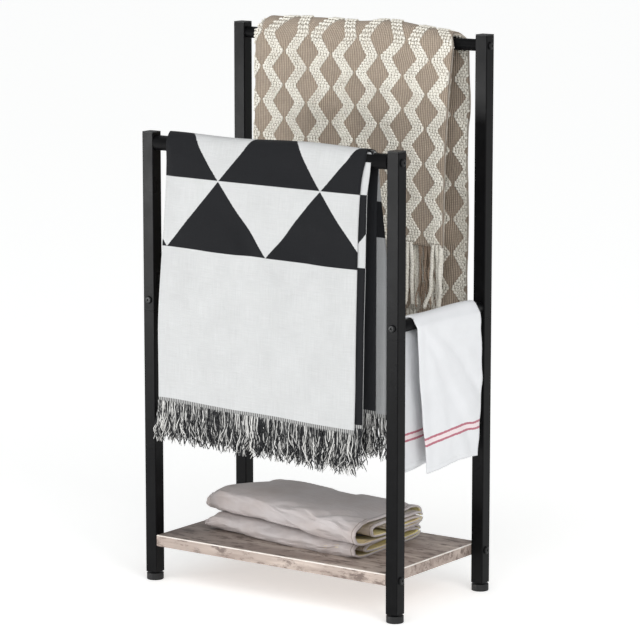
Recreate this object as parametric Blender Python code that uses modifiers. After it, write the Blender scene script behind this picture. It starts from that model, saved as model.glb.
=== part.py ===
"""A free-standing two-tier blanket rack with the cloths that lie on it.

Four square posts, two short in front and two tall behind, carry a round rail across the front,
one across the back and one on each side, and a board shelf near the floor. A folded throw hangs
on the front rail, a folded knit throw on the rear rail and a tea towel on the right side rail,
and two folded quilts lie on the shelf.

Metres, +Z up, +X to the object's right, -Y to its front. The origin is on the floor, midway
between the four posts.
"""

from math import cos, pi, radians, sin

import bmesh
import bpy
from mathutils import Matrix, Vector

# Clearances
GAP = 0.0003  # left between pieces that touch
BOLT_CLEARANCE = 0.0003  # round a bolt's shank, on the radius

# Posts: square steel tube, each an upper and a lower length with a sleeve inside the joint
TUBE = 0.025
TUBE_WALL = 0.0012
TUBE_CORNER_RADIUS = 0.0015
POST_SPACING_X = 0.548
POST_SPACING_Y = 0.284
FRONT_POST_TOP = 0.852
REAR_POST_TOP = 1.038
SLEEVE_WALL = 0.0015
SLEEVE_ABOVE_SEAM = 0.040
SLEEVE_BELOW_SEAM = 0.040
SEAM_BELOW_SIDE_RAIL = 0.021

# Post caps
CAP_PLATE = 0.002
CAP_PLUG_DEPTH = 0.010
CAP_EDGE = 0.0006

# Levelling feet: a round pad on a threaded stud, which screws into an insert in the post
FOOT_RADIUS = 0.016
FOOT_HEIGHT = 0.013
FOOT_EDGE = 0.0015
COLLAR_RADIUS = 0.0065
COLLAR_HEIGHT = 0.0022
STUD_RADIUS = 0.004
STUD_LENGTH = 0.030
FOOT_INSERT_HEIGHT = 0.020

# Round rails
RAIL_RADIUS = 0.011
RAIL_WALL = 0.0012
TOP_RAIL_BELOW_POST_TOP = 0.0205
SIDE_RAIL_HEIGHT = 0.537
RAIL_INSERT_LENGTH = 0.016

# Button-head bolts
BOLT_RADIUS = 0.003
BOLT_HEAD_RADIUS = 0.007
BOLT_HEAD_HEIGHT = 0.0032
BOLT_CROWN = ((0.75, 1.0), (0.93, 0.62))  # the head's round, as shares of its radius and height
BOLT_TIP_TAPER = 0.001
BOLT_SOCKET_RADIUS = 0.0023
BOLT_SOCKET_DEPTH = 0.0018
RAIL_BOLT_GRIP = 0.013  # how far the shank goes on past the post, into the rail's insert
SHELF_BOLT_GRIP = 0.027  # the same, into the shelf's edge

# Shelf
SHELF_TOP = 0.089
SHELF_THICKNESS = 0.022
SHELF_EDGE = 0.0008

# Folded throw on the front rail
FRONT_THROW_THICKNESS = 0.012
FRONT_THROW_LEFT_MARGIN = 0.0185  # from the left post's inner face
FRONT_THROW_RIGHT_MARGIN = 0.0215
FRONT_THROW_SLACK = 0.001  # between the cloth and the rail
FRONT_HEM_ABOVE_SHELF = 0.263
FRONT_BACK_HEM_ABOVE_SHELF = 0.276
FRONT_FRINGE_LENGTH = 0.075
FRONT_FRINGE_THICKNESS = 0.008

# Folded knit throw on the rear rail
REAR_THROW_THICKNESS = 0.022
REAR_THROW_LEFT_MARGIN = 0.0355
REAR_THROW_RIGHT_MARGIN = 0.0335
REAR_THROW_SLACK = 0.0015
REAR_HEM_ABOVE_SHELF = 0.553
REAR_BACK_HEM_ABOVE_SHELF = 0.420
REAR_FRINGE_LENGTH = 0.122
REAR_FRINGE_THICKNESS = 0.012

# Tea towel on the right side rail
TOWEL_THICKNESS = 0.006
TOWEL_SLACK = 0.001
TOWEL_FRONT_MARGIN = 0.034  # from the front post's inner face
TOWEL_REAR_MARGIN = 0.016
TOWEL_DROP = 0.276  # from the rail's axis to the hem

# Folded quilts on the shelf
QUILT_CORNER_RADIUS = 0.011
LOWER_QUILT_THICKNESS = 0.029
LOWER_QUILT_LEFT_MARGIN = 0.050  # from the shelf's left end
LOWER_QUILT_RIGHT_MARGIN = 0.098
LOWER_QUILT_FRONT_MARGIN = 0.052  # from the shelf's front edge
LOWER_QUILT_REAR_MARGIN = 0.040
LOWER_QUILT_TURN = radians(-3)
UPPER_QUILT_THICKNESS = 0.046
UPPER_QUILT_LEFT_MARGIN = 0.036
UPPER_QUILT_RIGHT_MARGIN = 0.070
UPPER_QUILT_FRONT_MARGIN = 0.056
UPPER_QUILT_REAR_MARGIN = 0.056
UPPER_QUILT_TURN = radians(-6)

# Facets of the round pieces
RAIL_SIDES = 24
BOLT_SIDES = 18
HOLE_SIDES = 18
FOOT_SIDES = 32
BEND_STEPS = 10

# Heights and places that follow from the sizes above
HALF_TUBE = TUBE / 2
POST_X = POST_SPACING_X / 2
POST_Y = POST_SPACING_Y / 2
POST_BOTTOM = FOOT_HEIGHT + COLLAR_HEIGHT + GAP
SEAM = SIDE_RAIL_HEIGHT - SEAM_BELOW_SIDE_RAIL
TUBE_INSIDE = TUBE - 2 * TUBE_WALL
SLEEVE_OUTSIDE = TUBE_INSIDE - 2 * GAP
HOLE_RADIUS = BOLT_RADIUS + BOLT_CLEARANCE
SHELF_BOLT_HEIGHT = SHELF_TOP - SHELF_THICKNESS / 2
FRONT_RAIL_HEIGHT = FRONT_POST_TOP - TOP_RAIL_BELOW_POST_TOP
REAR_RAIL_HEIGHT = REAR_POST_TOP - TOP_RAIL_BELOW_POST_TOP
INNER_X = POST_X - HALF_TUBE
INNER_Y = POST_Y - HALF_TUBE
SHELF_X = INNER_X - GAP
SHELF_Y = POST_Y + HALF_TUBE

POSTS = {
    "front_left": (-POST_X, -POST_Y),
    "front_right": (POST_X, -POST_Y),
    "rear_left": (-POST_X, POST_Y),
    "rear_right": (POST_X, POST_Y),
}


def clear_scene():
    for obj in list(bpy.data.objects):
        bpy.data.objects.remove(obj, do_unlink=True)


def new_collection(name):
    collection = bpy.data.collections.new(name)
    bpy.context.scene.collection.children.link(collection)
    return collection


def new_material(name, colour, roughness, metallic=0.0):
    material = bpy.data.materials.new(name)
    material.use_nodes = True
    shader = material.node_tree.nodes["Principled BSDF"]
    shader.inputs["Base Color"].default_value = (*colour, 1.0)
    shader.inputs["Roughness"].default_value = roughness
    shader.inputs["Metallic"].default_value = metallic
    material.diffuse_color = (*colour, 1.0)
    return material


clear_scene()
RACK = new_collection("blanket_rack_with_quilts")
CUTTERS = new_collection("cutters")

BLACK_STEEL = ((0.018, 0.018, 0.019), 0.45, 0.0)
BLACK_BOLT = ((0.012, 0.012, 0.012), 0.35, 0.6)
BRIGHT_STEEL = ((0.55, 0.55, 0.56), 0.35, 1.0)
BLACK_PLASTIC = ((0.014, 0.014, 0.014), 0.55, 0.0)
OAK_BOARD = ((0.45, 0.38, 0.32), 0.6, 0.0)
MONO_CLOTH = ((0.75, 0.75, 0.75), 0.9, 0.0)
TAUPE_KNIT = ((0.38, 0.30, 0.24), 0.95, 0.0)
WHITE_COTTON = ((0.85, 0.85, 0.87), 0.9, 0.0)
GREIGE_COTTON = ((0.62, 0.56, 0.52), 0.85, 0.0)


def add_object(name, mesh, finish, place=(0, 0, 0)):
    """One named sub-part, with a material of its own."""
    obj = bpy.data.objects.new(name, mesh)
    obj.location = place
    RACK.objects.link(obj)
    obj.data.materials.clear()
    obj.data.materials.append(new_material(name, *finish))
    return obj


def mesh_from(bm, name):
    mesh = bpy.data.meshes.new(name)
    bm.to_mesh(mesh)
    bm.free()
    return mesh


def solidify(obj, thickness, offset):
    modifier = obj.modifiers.new("Wall", "SOLIDIFY")
    modifier.thickness = thickness
    modifier.offset = offset
    modifier.use_even_offset = True


def bevel(obj, width, segments, angle=radians(40)):
    modifier = obj.modifiers.new("Edges", "BEVEL")
    modifier.width = width
    modifier.segments = segments
    modifier.limit_method = "ANGLE"
    modifier.angle_limit = angle


def cut(obj, cutter):
    modifier = obj.modifiers.new("Cut " + cutter.name, "BOOLEAN")
    modifier.operation = "DIFFERENCE"
    modifier.object = cutter


def add_cutter(name, radius, start, end, sides=HOLE_SIDES):
    """A round cutter from start to end."""
    start, end = Vector(start), Vector(end)
    bm = bmesh.new()
    bmesh.ops.create_cone(
        bm, cap_ends=True, segments=sides, radius1=radius, radius2=radius, depth=(end - start).length
    )
    turn = (end - start).to_track_quat("Z", "Y").to_matrix().to_4x4()
    obj = bpy.data.objects.new(name, mesh_from(bm, name))
    obj.matrix_world = Matrix.Translation((start + end) / 2) @ turn
    obj.hide_render = True
    obj.display_type = "WIRE"
    CUTTERS.objects.link(obj)
    return obj


def add_box(name, low, high, finish, edge=0.0, segments=2):
    low, high = Vector(low), Vector(high)
    size, middle = high - low, (high + low) / 2
    bm = bmesh.new()
    bmesh.ops.create_cube(bm, size=1.0, matrix=Matrix.Diagonal((*size, 1.0)))
    obj = add_object(name, mesh_from(bm, name), finish, middle)
    if edge:
        bevel(obj, edge, segments)
    return obj


def extruded_outline(points, along, closed):
    """An open surface: the points joined by edges and pulled along a vector."""
    bm = bmesh.new()
    corners = [bm.verts.new(point) for point in points]
    pairs = list(zip(corners, corners[1:] + corners[:1]))
    if not closed:
        pairs.pop()
    edges = [bm.edges.new(pair) for pair in pairs]
    moved = bmesh.ops.extrude_edge_only(bm, edges=edges)["geom"]
    tops = [item for item in moved if isinstance(item, bmesh.types.BMVert)]
    bmesh.ops.translate(bm, verts=tops, vec=along)
    bmesh.ops.recalc_face_normals(bm, faces=bm.faces)
    return bm


def rounded_square(side, radius, steps=2):
    """Points round a square with arcs for corners, anticlockwise, about the origin."""
    inner = side / 2 - radius
    points = []
    for corner in range(4):
        start = corner * pi / 2
        middle = start + pi / 4
        centre_x = inner * (1 if cos(middle) > 0 else -1)
        centre_y = inner * (1 if sin(middle) > 0 else -1)
        for step in range(steps + 1):
            angle = start + step / steps * pi / 2
            points.append((centre_x + radius * cos(angle), centre_y + radius * sin(angle), 0))
    return points


def add_square_tube(name, side, wall, x, y, z_low, z_high, finish):
    radius = min(TUBE_CORNER_RADIUS, side / 4)
    bm = extruded_outline(rounded_square(side, radius), (0, 0, z_high - z_low), closed=True)
    obj = add_object(name, mesh_from(bm, name), finish, (x, y, z_low))
    solidify(obj, wall, -1)
    return obj


def circle_points(radius, sides, axis):
    """Points round a circle about the X or the Y axis."""
    turns = [2 * pi * step / sides for step in range(sides)]
    if axis == "X":
        return [(0, radius * cos(turn), radius * sin(turn)) for turn in turns]
    return [(radius * sin(turn), 0, radius * cos(turn)) for turn in turns]


def add_round_tube(name, radius, wall, start, end, sides, finish):
    """A round tube along X or Y, from start to end."""
    start, end = Vector(start), Vector(end)
    along = end - start
    axis = "X" if abs(along.x) > abs(along.y) else "Y"
    bm = extruded_outline(circle_points(radius, sides, axis), along, closed=True)
    mesh = mesh_from(bm, name)
    mesh.shade_smooth()
    obj = add_object(name, mesh, finish, start)
    solidify(obj, wall, -1)
    return obj


def turned_mesh(name, profile, sides):
    """A solid of revolution about Z, from (radius, height) points from top to bottom."""
    bm = bmesh.new()
    corners = [bm.verts.new((radius, 0, height)) for radius, height in profile]
    for pair in zip(corners, corners[1:]):
        bm.edges.new(pair)
    obj = bpy.data.objects.new(name, mesh_from(bm, name))
    RACK.objects.link(obj)
    screw = obj.modifiers.new("Turn", "SCREW")
    screw.angle = 2 * pi
    screw.steps = sides
    screw.render_steps = sides
    screw.use_merge_vertices = True
    screw.merge_threshold = 0.00001
    mesh = evaluated_mesh(obj, name)
    mesh.shade_smooth()
    mesh.set_sharp_from_angle(angle=radians(35))
    return mesh


def evaluated_mesh(obj, name):
    """The mesh that an object's modifiers make. The object itself is removed."""
    graph = bpy.context.evaluated_depsgraph_get()
    mesh = bpy.data.meshes.new_from_object(obj.evaluated_get(graph))
    mesh.name = name
    bpy.data.objects.remove(obj, do_unlink=True)
    return mesh


def bolt_mesh(name, shank_length):
    """A button-head bolt along -Z, its head above z = 0, with a hexagon socket."""
    crown = [(BOLT_HEAD_RADIUS * out, BOLT_HEAD_HEIGHT * up) for out, up in BOLT_CROWN]
    profile = [
        (0, BOLT_HEAD_HEIGHT),
        *crown,
        (BOLT_HEAD_RADIUS, 0),
        (BOLT_RADIUS, 0),
        (BOLT_RADIUS, -shank_length + BOLT_TIP_TAPER),
        (BOLT_RADIUS - BOLT_TIP_TAPER, -shank_length),
        (0, -shank_length),
    ]
    obj = bpy.data.objects.new(name, turned_mesh(name, profile, BOLT_SIDES))
    RACK.objects.link(obj)
    floor = BOLT_HEAD_HEIGHT - BOLT_SOCKET_DEPTH
    socket = add_cutter(
        name + "_socket", BOLT_SOCKET_RADIUS, (0, 0, floor), (0, 0, 2 * BOLT_HEAD_HEIGHT), sides=6
    )
    cut(obj, socket)
    mesh = evaluated_mesh(obj, name)
    bpy.data.objects.remove(socket, do_unlink=True)
    return mesh


def add_bolt(name, mesh, head_at, outward):
    """A bolt whose head seats at head_at and faces outward."""
    obj = add_object(name, mesh.copy(), BLACK_BOLT)
    obj.rotation_mode = "QUATERNION"
    obj.rotation_quaternion = Vector(outward).to_track_quat("Z", "Y")
    obj.location = Vector(head_at) + Vector(outward) * GAP
    return obj


def side_of(value):
    return 1 if value > 0 else -1


def post_top(corner):
    return FRONT_POST_TOP if corner.startswith("front") else REAR_POST_TOP


def top_rail_height(corner):
    return FRONT_RAIL_HEIGHT if corner.startswith("front") else REAR_RAIL_HEIGHT


def make_posts():
    """Upper and lower tubes, with the holes that the bolts pass through."""
    for corner, (x, y) in POSTS.items():
        across_x = [(x - TUBE, y), (x + TUBE, y)]
        across_y = [(x, y - TUBE), (x, y + TUBE)]

        lower = add_square_tube(
            f"{corner}_lower_post", TUBE, TUBE_WALL, x, y, POST_BOTTOM, SEAM, BLACK_STEEL
        )
        ends = [(*point, SHELF_BOLT_HEIGHT) for point in across_x]
        cut(lower, add_cutter(f"{corner}_shelf_bolt_hole", HOLE_RADIUS, *ends))

        tube_top = post_top(corner) - CAP_PLATE - GAP
        upper = add_square_tube(
            f"{corner}_upper_post", TUBE, TUBE_WALL, x, y, SEAM + GAP, tube_top, BLACK_STEEL
        )
        ends = [(*point, top_rail_height(corner)) for point in across_x]
        cut(upper, add_cutter(f"{corner}_rail_bolt_hole", HOLE_RADIUS, *ends))
        ends = [(*point, SIDE_RAIL_HEIGHT) for point in across_y]
        side_hole = add_cutter(f"{corner}_side_rail_bolt_hole", HOLE_RADIUS, *ends)
        cut(upper, side_hole)

        sleeve = add_square_tube(
            f"{corner}_joint_sleeve",
            SLEEVE_OUTSIDE,
            SLEEVE_WALL,
            x,
            y,
            SEAM - SLEEVE_BELOW_SEAM,
            SEAM + SLEEVE_ABOVE_SEAM,
            BRIGHT_STEEL,
        )
        cut(sleeve, side_hole)


def make_caps():
    """A thin square plate over each post, with a plug that pushes into the tube."""
    for corner, (x, y) in POSTS.items():
        bm = bmesh.new()
        flat = Matrix.Diagonal((TUBE, TUBE, CAP_PLATE, 1.0))
        bmesh.ops.create_cube(bm, size=1.0, matrix=flat)
        under = [face for face in bm.faces if face.normal.z < -0.5]
        inset = (TUBE - SLEEVE_OUTSIDE) / 2
        bmesh.ops.inset_region(bm, faces=under, thickness=inset, use_even_offset=True)
        plug = bmesh.ops.extrude_face_region(bm, geom=under)["geom"]
        ends = [item for item in plug if isinstance(item, bmesh.types.BMVert)]
        bmesh.ops.translate(bm, verts=ends, vec=(0, 0, -CAP_PLUG_DEPTH))
        bmesh.ops.delete(bm, geom=under, context="FACES_ONLY")
        name = f"{corner}_post_cap"
        place = (x, y, post_top(corner) - CAP_PLATE / 2)
        cap = add_object(name, mesh_from(bm, name), BLACK_PLASTIC, place)
        bevel(cap, CAP_EDGE, 2)


def make_feet():
    """Threaded inserts in the posts, and the levelling feet that screw into them."""
    edge = FOOT_EDGE
    round_off = edge * (1 - cos(pi / 4))
    top = FOOT_HEIGHT + COLLAR_HEIGHT
    profile = [
        (0, top + STUD_LENGTH),
        (STUD_RADIUS - BOLT_TIP_TAPER, top + STUD_LENGTH),
        (STUD_RADIUS, top + STUD_LENGTH - BOLT_TIP_TAPER),
        (STUD_RADIUS, top),
        (COLLAR_RADIUS, top),
        (COLLAR_RADIUS, FOOT_HEIGHT),
        (FOOT_RADIUS - edge, FOOT_HEIGHT),
        (FOOT_RADIUS - round_off, FOOT_HEIGHT - round_off),
        (FOOT_RADIUS, FOOT_HEIGHT - edge),
        (FOOT_RADIUS, edge),
        (FOOT_RADIUS - round_off, round_off),
        (FOOT_RADIUS - edge, 0),
        (0, 0),
    ]
    foot = turned_mesh("levelling_foot", profile, FOOT_SIDES)
    bore = STUD_RADIUS + BOLT_CLEARANCE
    half = SLEEVE_OUTSIDE / 2
    for corner, (x, y) in POSTS.items():
        low, high = POST_BOTTOM, POST_BOTTOM + FOOT_INSERT_HEIGHT
        name = f"{corner}_foot_insert"
        insert = add_box(name, (x - half, y - half, low), (x + half, y + half, high), BLACK_PLASTIC)
        cut(insert, add_cutter(f"{corner}_stud_bore", bore, (x, y, low - TUBE), (x, y, high + TUBE)))
        add_object(f"{corner}_foot", foot.copy(), BLACK_PLASTIC, (x, y, 0))
    bpy.data.meshes.remove(foot)


def make_rail(name, start, end, bolt):
    """A rail between two posts' inner faces, its two threaded inserts and its two bolts."""
    start, end = Vector(start), Vector(end)
    way = (end - start).normalized()
    rail_start, rail_end = start + way * GAP, end - way * GAP
    add_round_tube(f"{name}_rail", RAIL_RADIUS, RAIL_WALL, rail_start, rail_end, RAIL_SIDES, BLACK_STEEL)
    insert_radius = RAIL_RADIUS - RAIL_WALL - GAP
    insert_wall = insert_radius - HOLE_RADIUS
    if abs(way.x) > abs(way.y):
        labels = ("left", "right")
    else:
        labels = ("front", "rear")
    for label, inner, inward in ((labels[0], start, way), (labels[1], end, -way)):
        near = inner + inward * GAP
        far = near + inward * RAIL_INSERT_LENGTH
        insert = f"{name}_rail_{label}_insert"
        add_round_tube(insert, insert_radius, insert_wall, near, far, BOLT_SIDES, BRIGHT_STEEL)
        add_bolt(f"{name}_rail_{label}_bolt", bolt, inner - inward * TUBE, -inward)


def make_rails():
    bolt = bolt_mesh("rail_bolt", TUBE + RAIL_BOLT_GRIP)
    front, rear, side = FRONT_RAIL_HEIGHT, REAR_RAIL_HEIGHT, SIDE_RAIL_HEIGHT
    make_rail("front", (-INNER_X, -POST_Y, front), (INNER_X, -POST_Y, front), bolt)
    make_rail("rear", (-INNER_X, POST_Y, rear), (INNER_X, POST_Y, rear), bolt)
    make_rail("left_side", (-POST_X, -INNER_Y, side), (-POST_X, INNER_Y, side), bolt)
    make_rail("right_side", (POST_X, -INNER_Y, side), (POST_X, INNER_Y, side), bolt)
    bpy.data.meshes.remove(bolt)


def make_shelf():
    """A board between the posts, with a pilot hole in its ends for each bolt."""
    low = (-SHELF_X, -SHELF_Y, SHELF_TOP - SHELF_THICKNESS)
    high = (SHELF_X, SHELF_Y, SHELF_TOP)
    shelf = add_box("shelf_board", low, high, OAK_BOARD, SHELF_EDGE, segments=1)
    bolt = bolt_mesh("shelf_bolt", TUBE + SHELF_BOLT_GRIP)
    depth = SHELF_BOLT_GRIP + BOLT_CLEARANCE + GAP
    for corner, (x, y) in POSTS.items():
        way = side_of(x)
        inner = (way * INNER_X, y, SHELF_BOLT_HEIGHT)
        deep = (way * (INNER_X - depth), y, SHELF_BOLT_HEIGHT)
        cut(shelf, add_cutter(f"{corner}_pilot_hole", HOLE_RADIUS, deep, inner))
        head_at = (x + way * HALF_TUBE, y, SHELF_BOLT_HEIGHT)
        add_bolt(f"{corner}_shelf_bolt", bolt, head_at, (way, 0, 0))
    bpy.data.meshes.remove(bolt)


def add_draped(name, axis, rail, bend_radius, thickness, run, hems, finish):
    """A folded cloth over a rail: an upside-down U, pulled along the rail's axis, X or Y.

    rail is the rail's place across its axis and its height, run the stretch of it that the
    cloth covers, and hems the heights of the two lower edges, the lesser side's first.
    """
    across, height = rail
    start, end = run
    profile = [(across - bend_radius, hems[0])]
    for step in range(BEND_STEPS + 1):
        angle = pi - pi * step / BEND_STEPS
        profile.append((across + bend_radius * cos(angle), height + bend_radius * sin(angle)))
    profile.append((across + bend_radius, hems[1]))
    if axis == "X":
        points = [(start, place, level) for place, level in profile]
        along = (end - start, 0, 0)
    else:
        points = [(place, start, level) for place, level in profile]
        along = (0, end - start, 0)
    bm = extruded_outline(points, along, closed=False)
    top = max(bm.faces, key=lambda face: face.calc_center_median().z)
    if top.normal.z < 0:
        bmesh.ops.reverse_faces(bm, faces=bm.faces)
    obj = add_object(name, mesh_from(bm, name), finish)
    solidify(obj, thickness, 1)
    return obj


def make_throw(name, y, rail_height, slack, thickness, margins, hem_heights, fringe, finish):
    """A folded throw over a top rail, with a fringe below both hems.

    margins are from the posts' inner faces, hem_heights above the shelf for the front and the
    back, and fringe is its length and its thickness.
    """
    run = (-INNER_X + margins[0], INNER_X - margins[1])
    bend = RAIL_RADIUS + slack
    hems = [SHELF_TOP + height for height in hem_heights]
    add_draped(name, "X", (y, rail_height), bend, thickness, run, hems, finish)
    middle = bend + thickness / 2
    length, depth = fringe
    for side, way, hem in (("front", -1, hems[0]), ("back", 1, hems[1])):
        fringe_y = y + way * middle
        low = (run[0], fringe_y - depth / 2, hem - length)
        high = (run[1], fringe_y + depth / 2, hem - GAP)
        add_box(f"{name}_{side}_fringe", low, high, finish)


def make_throws():
    make_throw(
        "front_throw",
        -POST_Y,
        FRONT_RAIL_HEIGHT,
        FRONT_THROW_SLACK,
        FRONT_THROW_THICKNESS,
        (FRONT_THROW_LEFT_MARGIN, FRONT_THROW_RIGHT_MARGIN),
        (FRONT_HEM_ABOVE_SHELF, FRONT_BACK_HEM_ABOVE_SHELF),
        (FRONT_FRINGE_LENGTH, FRONT_FRINGE_THICKNESS),
        MONO_CLOTH,
    )
    make_throw(
        "rear_throw",
        POST_Y,
        REAR_RAIL_HEIGHT,
        REAR_THROW_SLACK,
        REAR_THROW_THICKNESS,
        (REAR_THROW_LEFT_MARGIN, REAR_THROW_RIGHT_MARGIN),
        (REAR_HEM_ABOVE_SHELF, REAR_BACK_HEM_ABOVE_SHELF),
        (REAR_FRINGE_LENGTH, REAR_FRINGE_THICKNESS),
        TAUPE_KNIT,
    )


def make_tea_towel():
    run = (-INNER_Y + TOWEL_FRONT_MARGIN, INNER_Y - TOWEL_REAR_MARGIN)
    low = SIDE_RAIL_HEIGHT - TOWEL_DROP
    bend = RAIL_RADIUS + TOWEL_SLACK
    rail = (POST_X, SIDE_RAIL_HEIGHT)
    add_draped("tea_towel", "Y", rail, bend, TOWEL_THICKNESS, run, (low, low), WHITE_COTTON)


def add_quilt(name, left, right, front, rear, z_low, thickness, turn):
    """A folded quilt as a rounded slab, turned a little on the shelf."""
    x_low, x_high = -SHELF_X + left, SHELF_X - right
    y_low, y_high = -SHELF_Y + front, SHELF_Y - rear
    quilt = add_box(
        name,
        (x_low, y_low, z_low),
        (x_high, y_high, z_low + thickness),
        GREIGE_COTTON,
        min(QUILT_CORNER_RADIUS, thickness * 0.4),
        segments=3,
    )
    quilt.rotation_euler.z = turn
    return z_low + thickness


def make_quilts():
    lower_top = add_quilt(
        "lower_quilt",
        LOWER_QUILT_LEFT_MARGIN,
        LOWER_QUILT_RIGHT_MARGIN,
        LOWER_QUILT_FRONT_MARGIN,
        LOWER_QUILT_REAR_MARGIN,
        SHELF_TOP + GAP,
        LOWER_QUILT_THICKNESS,
        LOWER_QUILT_TURN,
    )
    add_quilt(
        "upper_quilt",
        UPPER_QUILT_LEFT_MARGIN,
        UPPER_QUILT_RIGHT_MARGIN,
        UPPER_QUILT_FRONT_MARGIN,
        UPPER_QUILT_REAR_MARGIN,
        lower_top + GAP,
        UPPER_QUILT_THICKNESS,
        UPPER_QUILT_TURN,
    )


make_posts()
make_caps()
make_feet()
make_rails()
make_shelf()
make_throws()
make_tea_towel()
make_quilts()
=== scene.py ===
"""A quilt rack dressed with two folded throws, a tea towel and two folded quilts.

The steel rack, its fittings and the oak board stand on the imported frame. The cloth is cut flat, folded,
hung over its rails and left to settle, so every pattern is laid out in metres on the flat cut.
"""

from math import cos, pi, radians, sin, sqrt

import bpy
import numpy as np
from mathutils import Matrix, Vector


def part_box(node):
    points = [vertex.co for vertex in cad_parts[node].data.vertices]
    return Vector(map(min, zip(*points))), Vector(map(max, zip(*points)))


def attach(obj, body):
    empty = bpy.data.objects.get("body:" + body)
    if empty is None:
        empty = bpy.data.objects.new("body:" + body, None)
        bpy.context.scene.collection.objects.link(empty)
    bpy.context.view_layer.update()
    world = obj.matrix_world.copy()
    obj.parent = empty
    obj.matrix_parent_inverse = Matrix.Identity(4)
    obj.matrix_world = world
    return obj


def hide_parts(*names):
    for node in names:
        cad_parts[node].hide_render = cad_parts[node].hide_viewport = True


bl_info = {
    "name": "Dressed quilt rack",
    "version": (1, 0, 0),
    "blender": (4, 5, 0),
    "location": "View3D > Sidebar > Quilt rack",
    "description": "Builds a steel quilt rack with folded throws, a tea towel and quilts",
    "category": "Object",
}

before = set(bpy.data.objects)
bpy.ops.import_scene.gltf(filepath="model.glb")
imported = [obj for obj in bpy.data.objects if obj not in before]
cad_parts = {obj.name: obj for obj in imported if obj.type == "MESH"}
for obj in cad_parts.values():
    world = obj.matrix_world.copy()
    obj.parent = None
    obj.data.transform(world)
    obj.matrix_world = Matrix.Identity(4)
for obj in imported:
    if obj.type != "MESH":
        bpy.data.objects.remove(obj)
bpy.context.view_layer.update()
FLAT_CUT = "flat_cut"  # the cloth's UV map: metres on the flat cut
SHADE = "yarn_shade"  # 0 to 1, how light a strand's yarn is
WAVE = 2 * pi / 20  # a wave texture of this scale has bands a metre apart
STRAND_SHIFT = 0.0137  # metres of yarn pattern from one strand to the next, so that no two match
SIDEWAYS = np.array([1.0, 0, 0])


def linear(hex_colour):
    """An sRGB hex value as a linear colour with full alpha."""
    shares = [int(hex_colour[i : i + 2], 16) / 255 for i in (1, 3, 5)]
    return (*(s / 12.92 if s <= 0.04045 else ((s + 0.055) / 1.055) ** 2.4 for s in shares), 1.0)


# ---------------------------------------------------------------------------------------------------
# Materials


class Wire:
    """A node's output: arithmetic on it adds Math nodes to its tree."""

    def __init__(self, socket):
        self.socket = socket

    def node(self, kind, *inputs, **settings):
        """A node in the same tree, as add makes it."""
        return add(self.socket.id_data, kind, *inputs, **settings)

    def math(self, operation, *others):
        return self.node("Math", self, *others, operation=operation)

    def __add__(self, other):
        return self.math("ADD", other)

    def __sub__(self, other):
        return self.math("SUBTRACT", other)

    def __rsub__(self, other):
        return self.node("Math", other, self, operation="SUBTRACT")

    def __mul__(self, other):
        return self.math("MULTIPLY", other)

    def __truediv__(self, other):
        return self.math("DIVIDE", other)

    def __abs__(self):
        return self.math("ABSOLUTE")

    def axis(self, number):
        return self.node("SeparateXYZ", self, out=number)

    def ramp(self, *ends):
        """This value mapped from one range to another, which is 0 to 1 if none is given, and clamped."""
        return self.node("MapRange", self, *ends)

    def stretched(self, x, y, z=1):
        return self.node("Mapping", {"Vector": self, "Scale": (x, y, z)})

    def noise(self, scale, detail, out=0, **more):
        return self.node("TexNoise", {"Vector": self, "Scale": scale, "Detail": detail, **more}, out=out)

    def waves(self, scale, direction, **more):
        return self.node("TexWave", {"Vector": self, "Scale": scale, **more}, bands_direction=direction,
                         out="Fac")

    def bump(self, strength, distance):
        return self.node("Bump", {"Strength": strength, "Distance": distance, "Height": self})


def add(tree, kind, *inputs, out=0, **settings):
    """Adds a node, fills its sockets in order or from a dict of names, and gives one of its outputs."""
    made = tree.nodes.new("ShaderNode" + kind)
    for name, value in settings.items():
        setattr(made, name, value)
    for at, value in enumerate(inputs):
        for socket, given in value.items() if isinstance(value, dict) else [(at, value)]:
            if isinstance(given, Wire):
                tree.links.new(given.socket, made.inputs[socket])
            else:
                made.inputs[socket].default_value = given
    return Wire(made.outputs[out]) if len(made.outputs) else made


def make_material(name, build, *given):
    """A material whose nodes the build function lays out; it returns the surface shader."""
    material = bpy.data.materials.new(name)
    material.use_nodes = True
    tree = material.node_tree
    tree.nodes.clear()
    add(tree, "OutputMaterial", build(tree, *given))
    return material


def in_metres(tree):
    """The object's own coordinates."""
    return add(tree, "TexCoord", out="Object")


def on_flat_cut(tree):
    """The cloth's own coordinates in metres: first across the cut, then along it."""
    return add(tree, "UVMap", uv_map=FLAT_CUT)


def blend(share, first, second):
    """A colour between two."""
    return share.node("Mix", {0: share, 6: first, 7: second}, data_type="RGBA", out=2)


def toned(colour, tone):
    """A colour made lighter or darker."""
    return tone.node("VectorMath", {0: colour, "Scale": tone}, operation="SCALE")


def hard_surface(tree, colour, roughness, normal, specular):
    return add(tree, "BsdfPrincipled", {
        "Base Color": colour, "Roughness": roughness, "Normal": normal, "Specular IOR Level": specular,
    })


def soft_surface(tree, colour, roughness, normal, specular, sheen, sheen_roughness=0.5):
    return add(tree, "BsdfPrincipled", {
        "Base Color": colour, "Roughness": roughness, "Normal": normal, "Specular IOR Level": specular,
        "Sheen Weight": sheen, "Sheen Roughness": sheen_roughness,
    })


def powder_coat(tree, colour):
    """Powder coat baked on steel: a matte black film with a fine orange peel and soft highlights."""
    place = in_metres(tree)
    # Peel of about 1.5 mm, and 60 mm clouds where the film was laid on a little thicker.
    peeled = place.noise(650, 2).bump(0.18, 0.0002)
    rough = place.noise(16, 3).ramp(0.3, 0.7, 0.27, 0.33)
    tone = place.noise(45, 4).ramp(0.35, 0.7, 0.85, 1.2)
    return hard_surface(tree, toned(colour[:3], tone), rough, peeled, 0.07)


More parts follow.
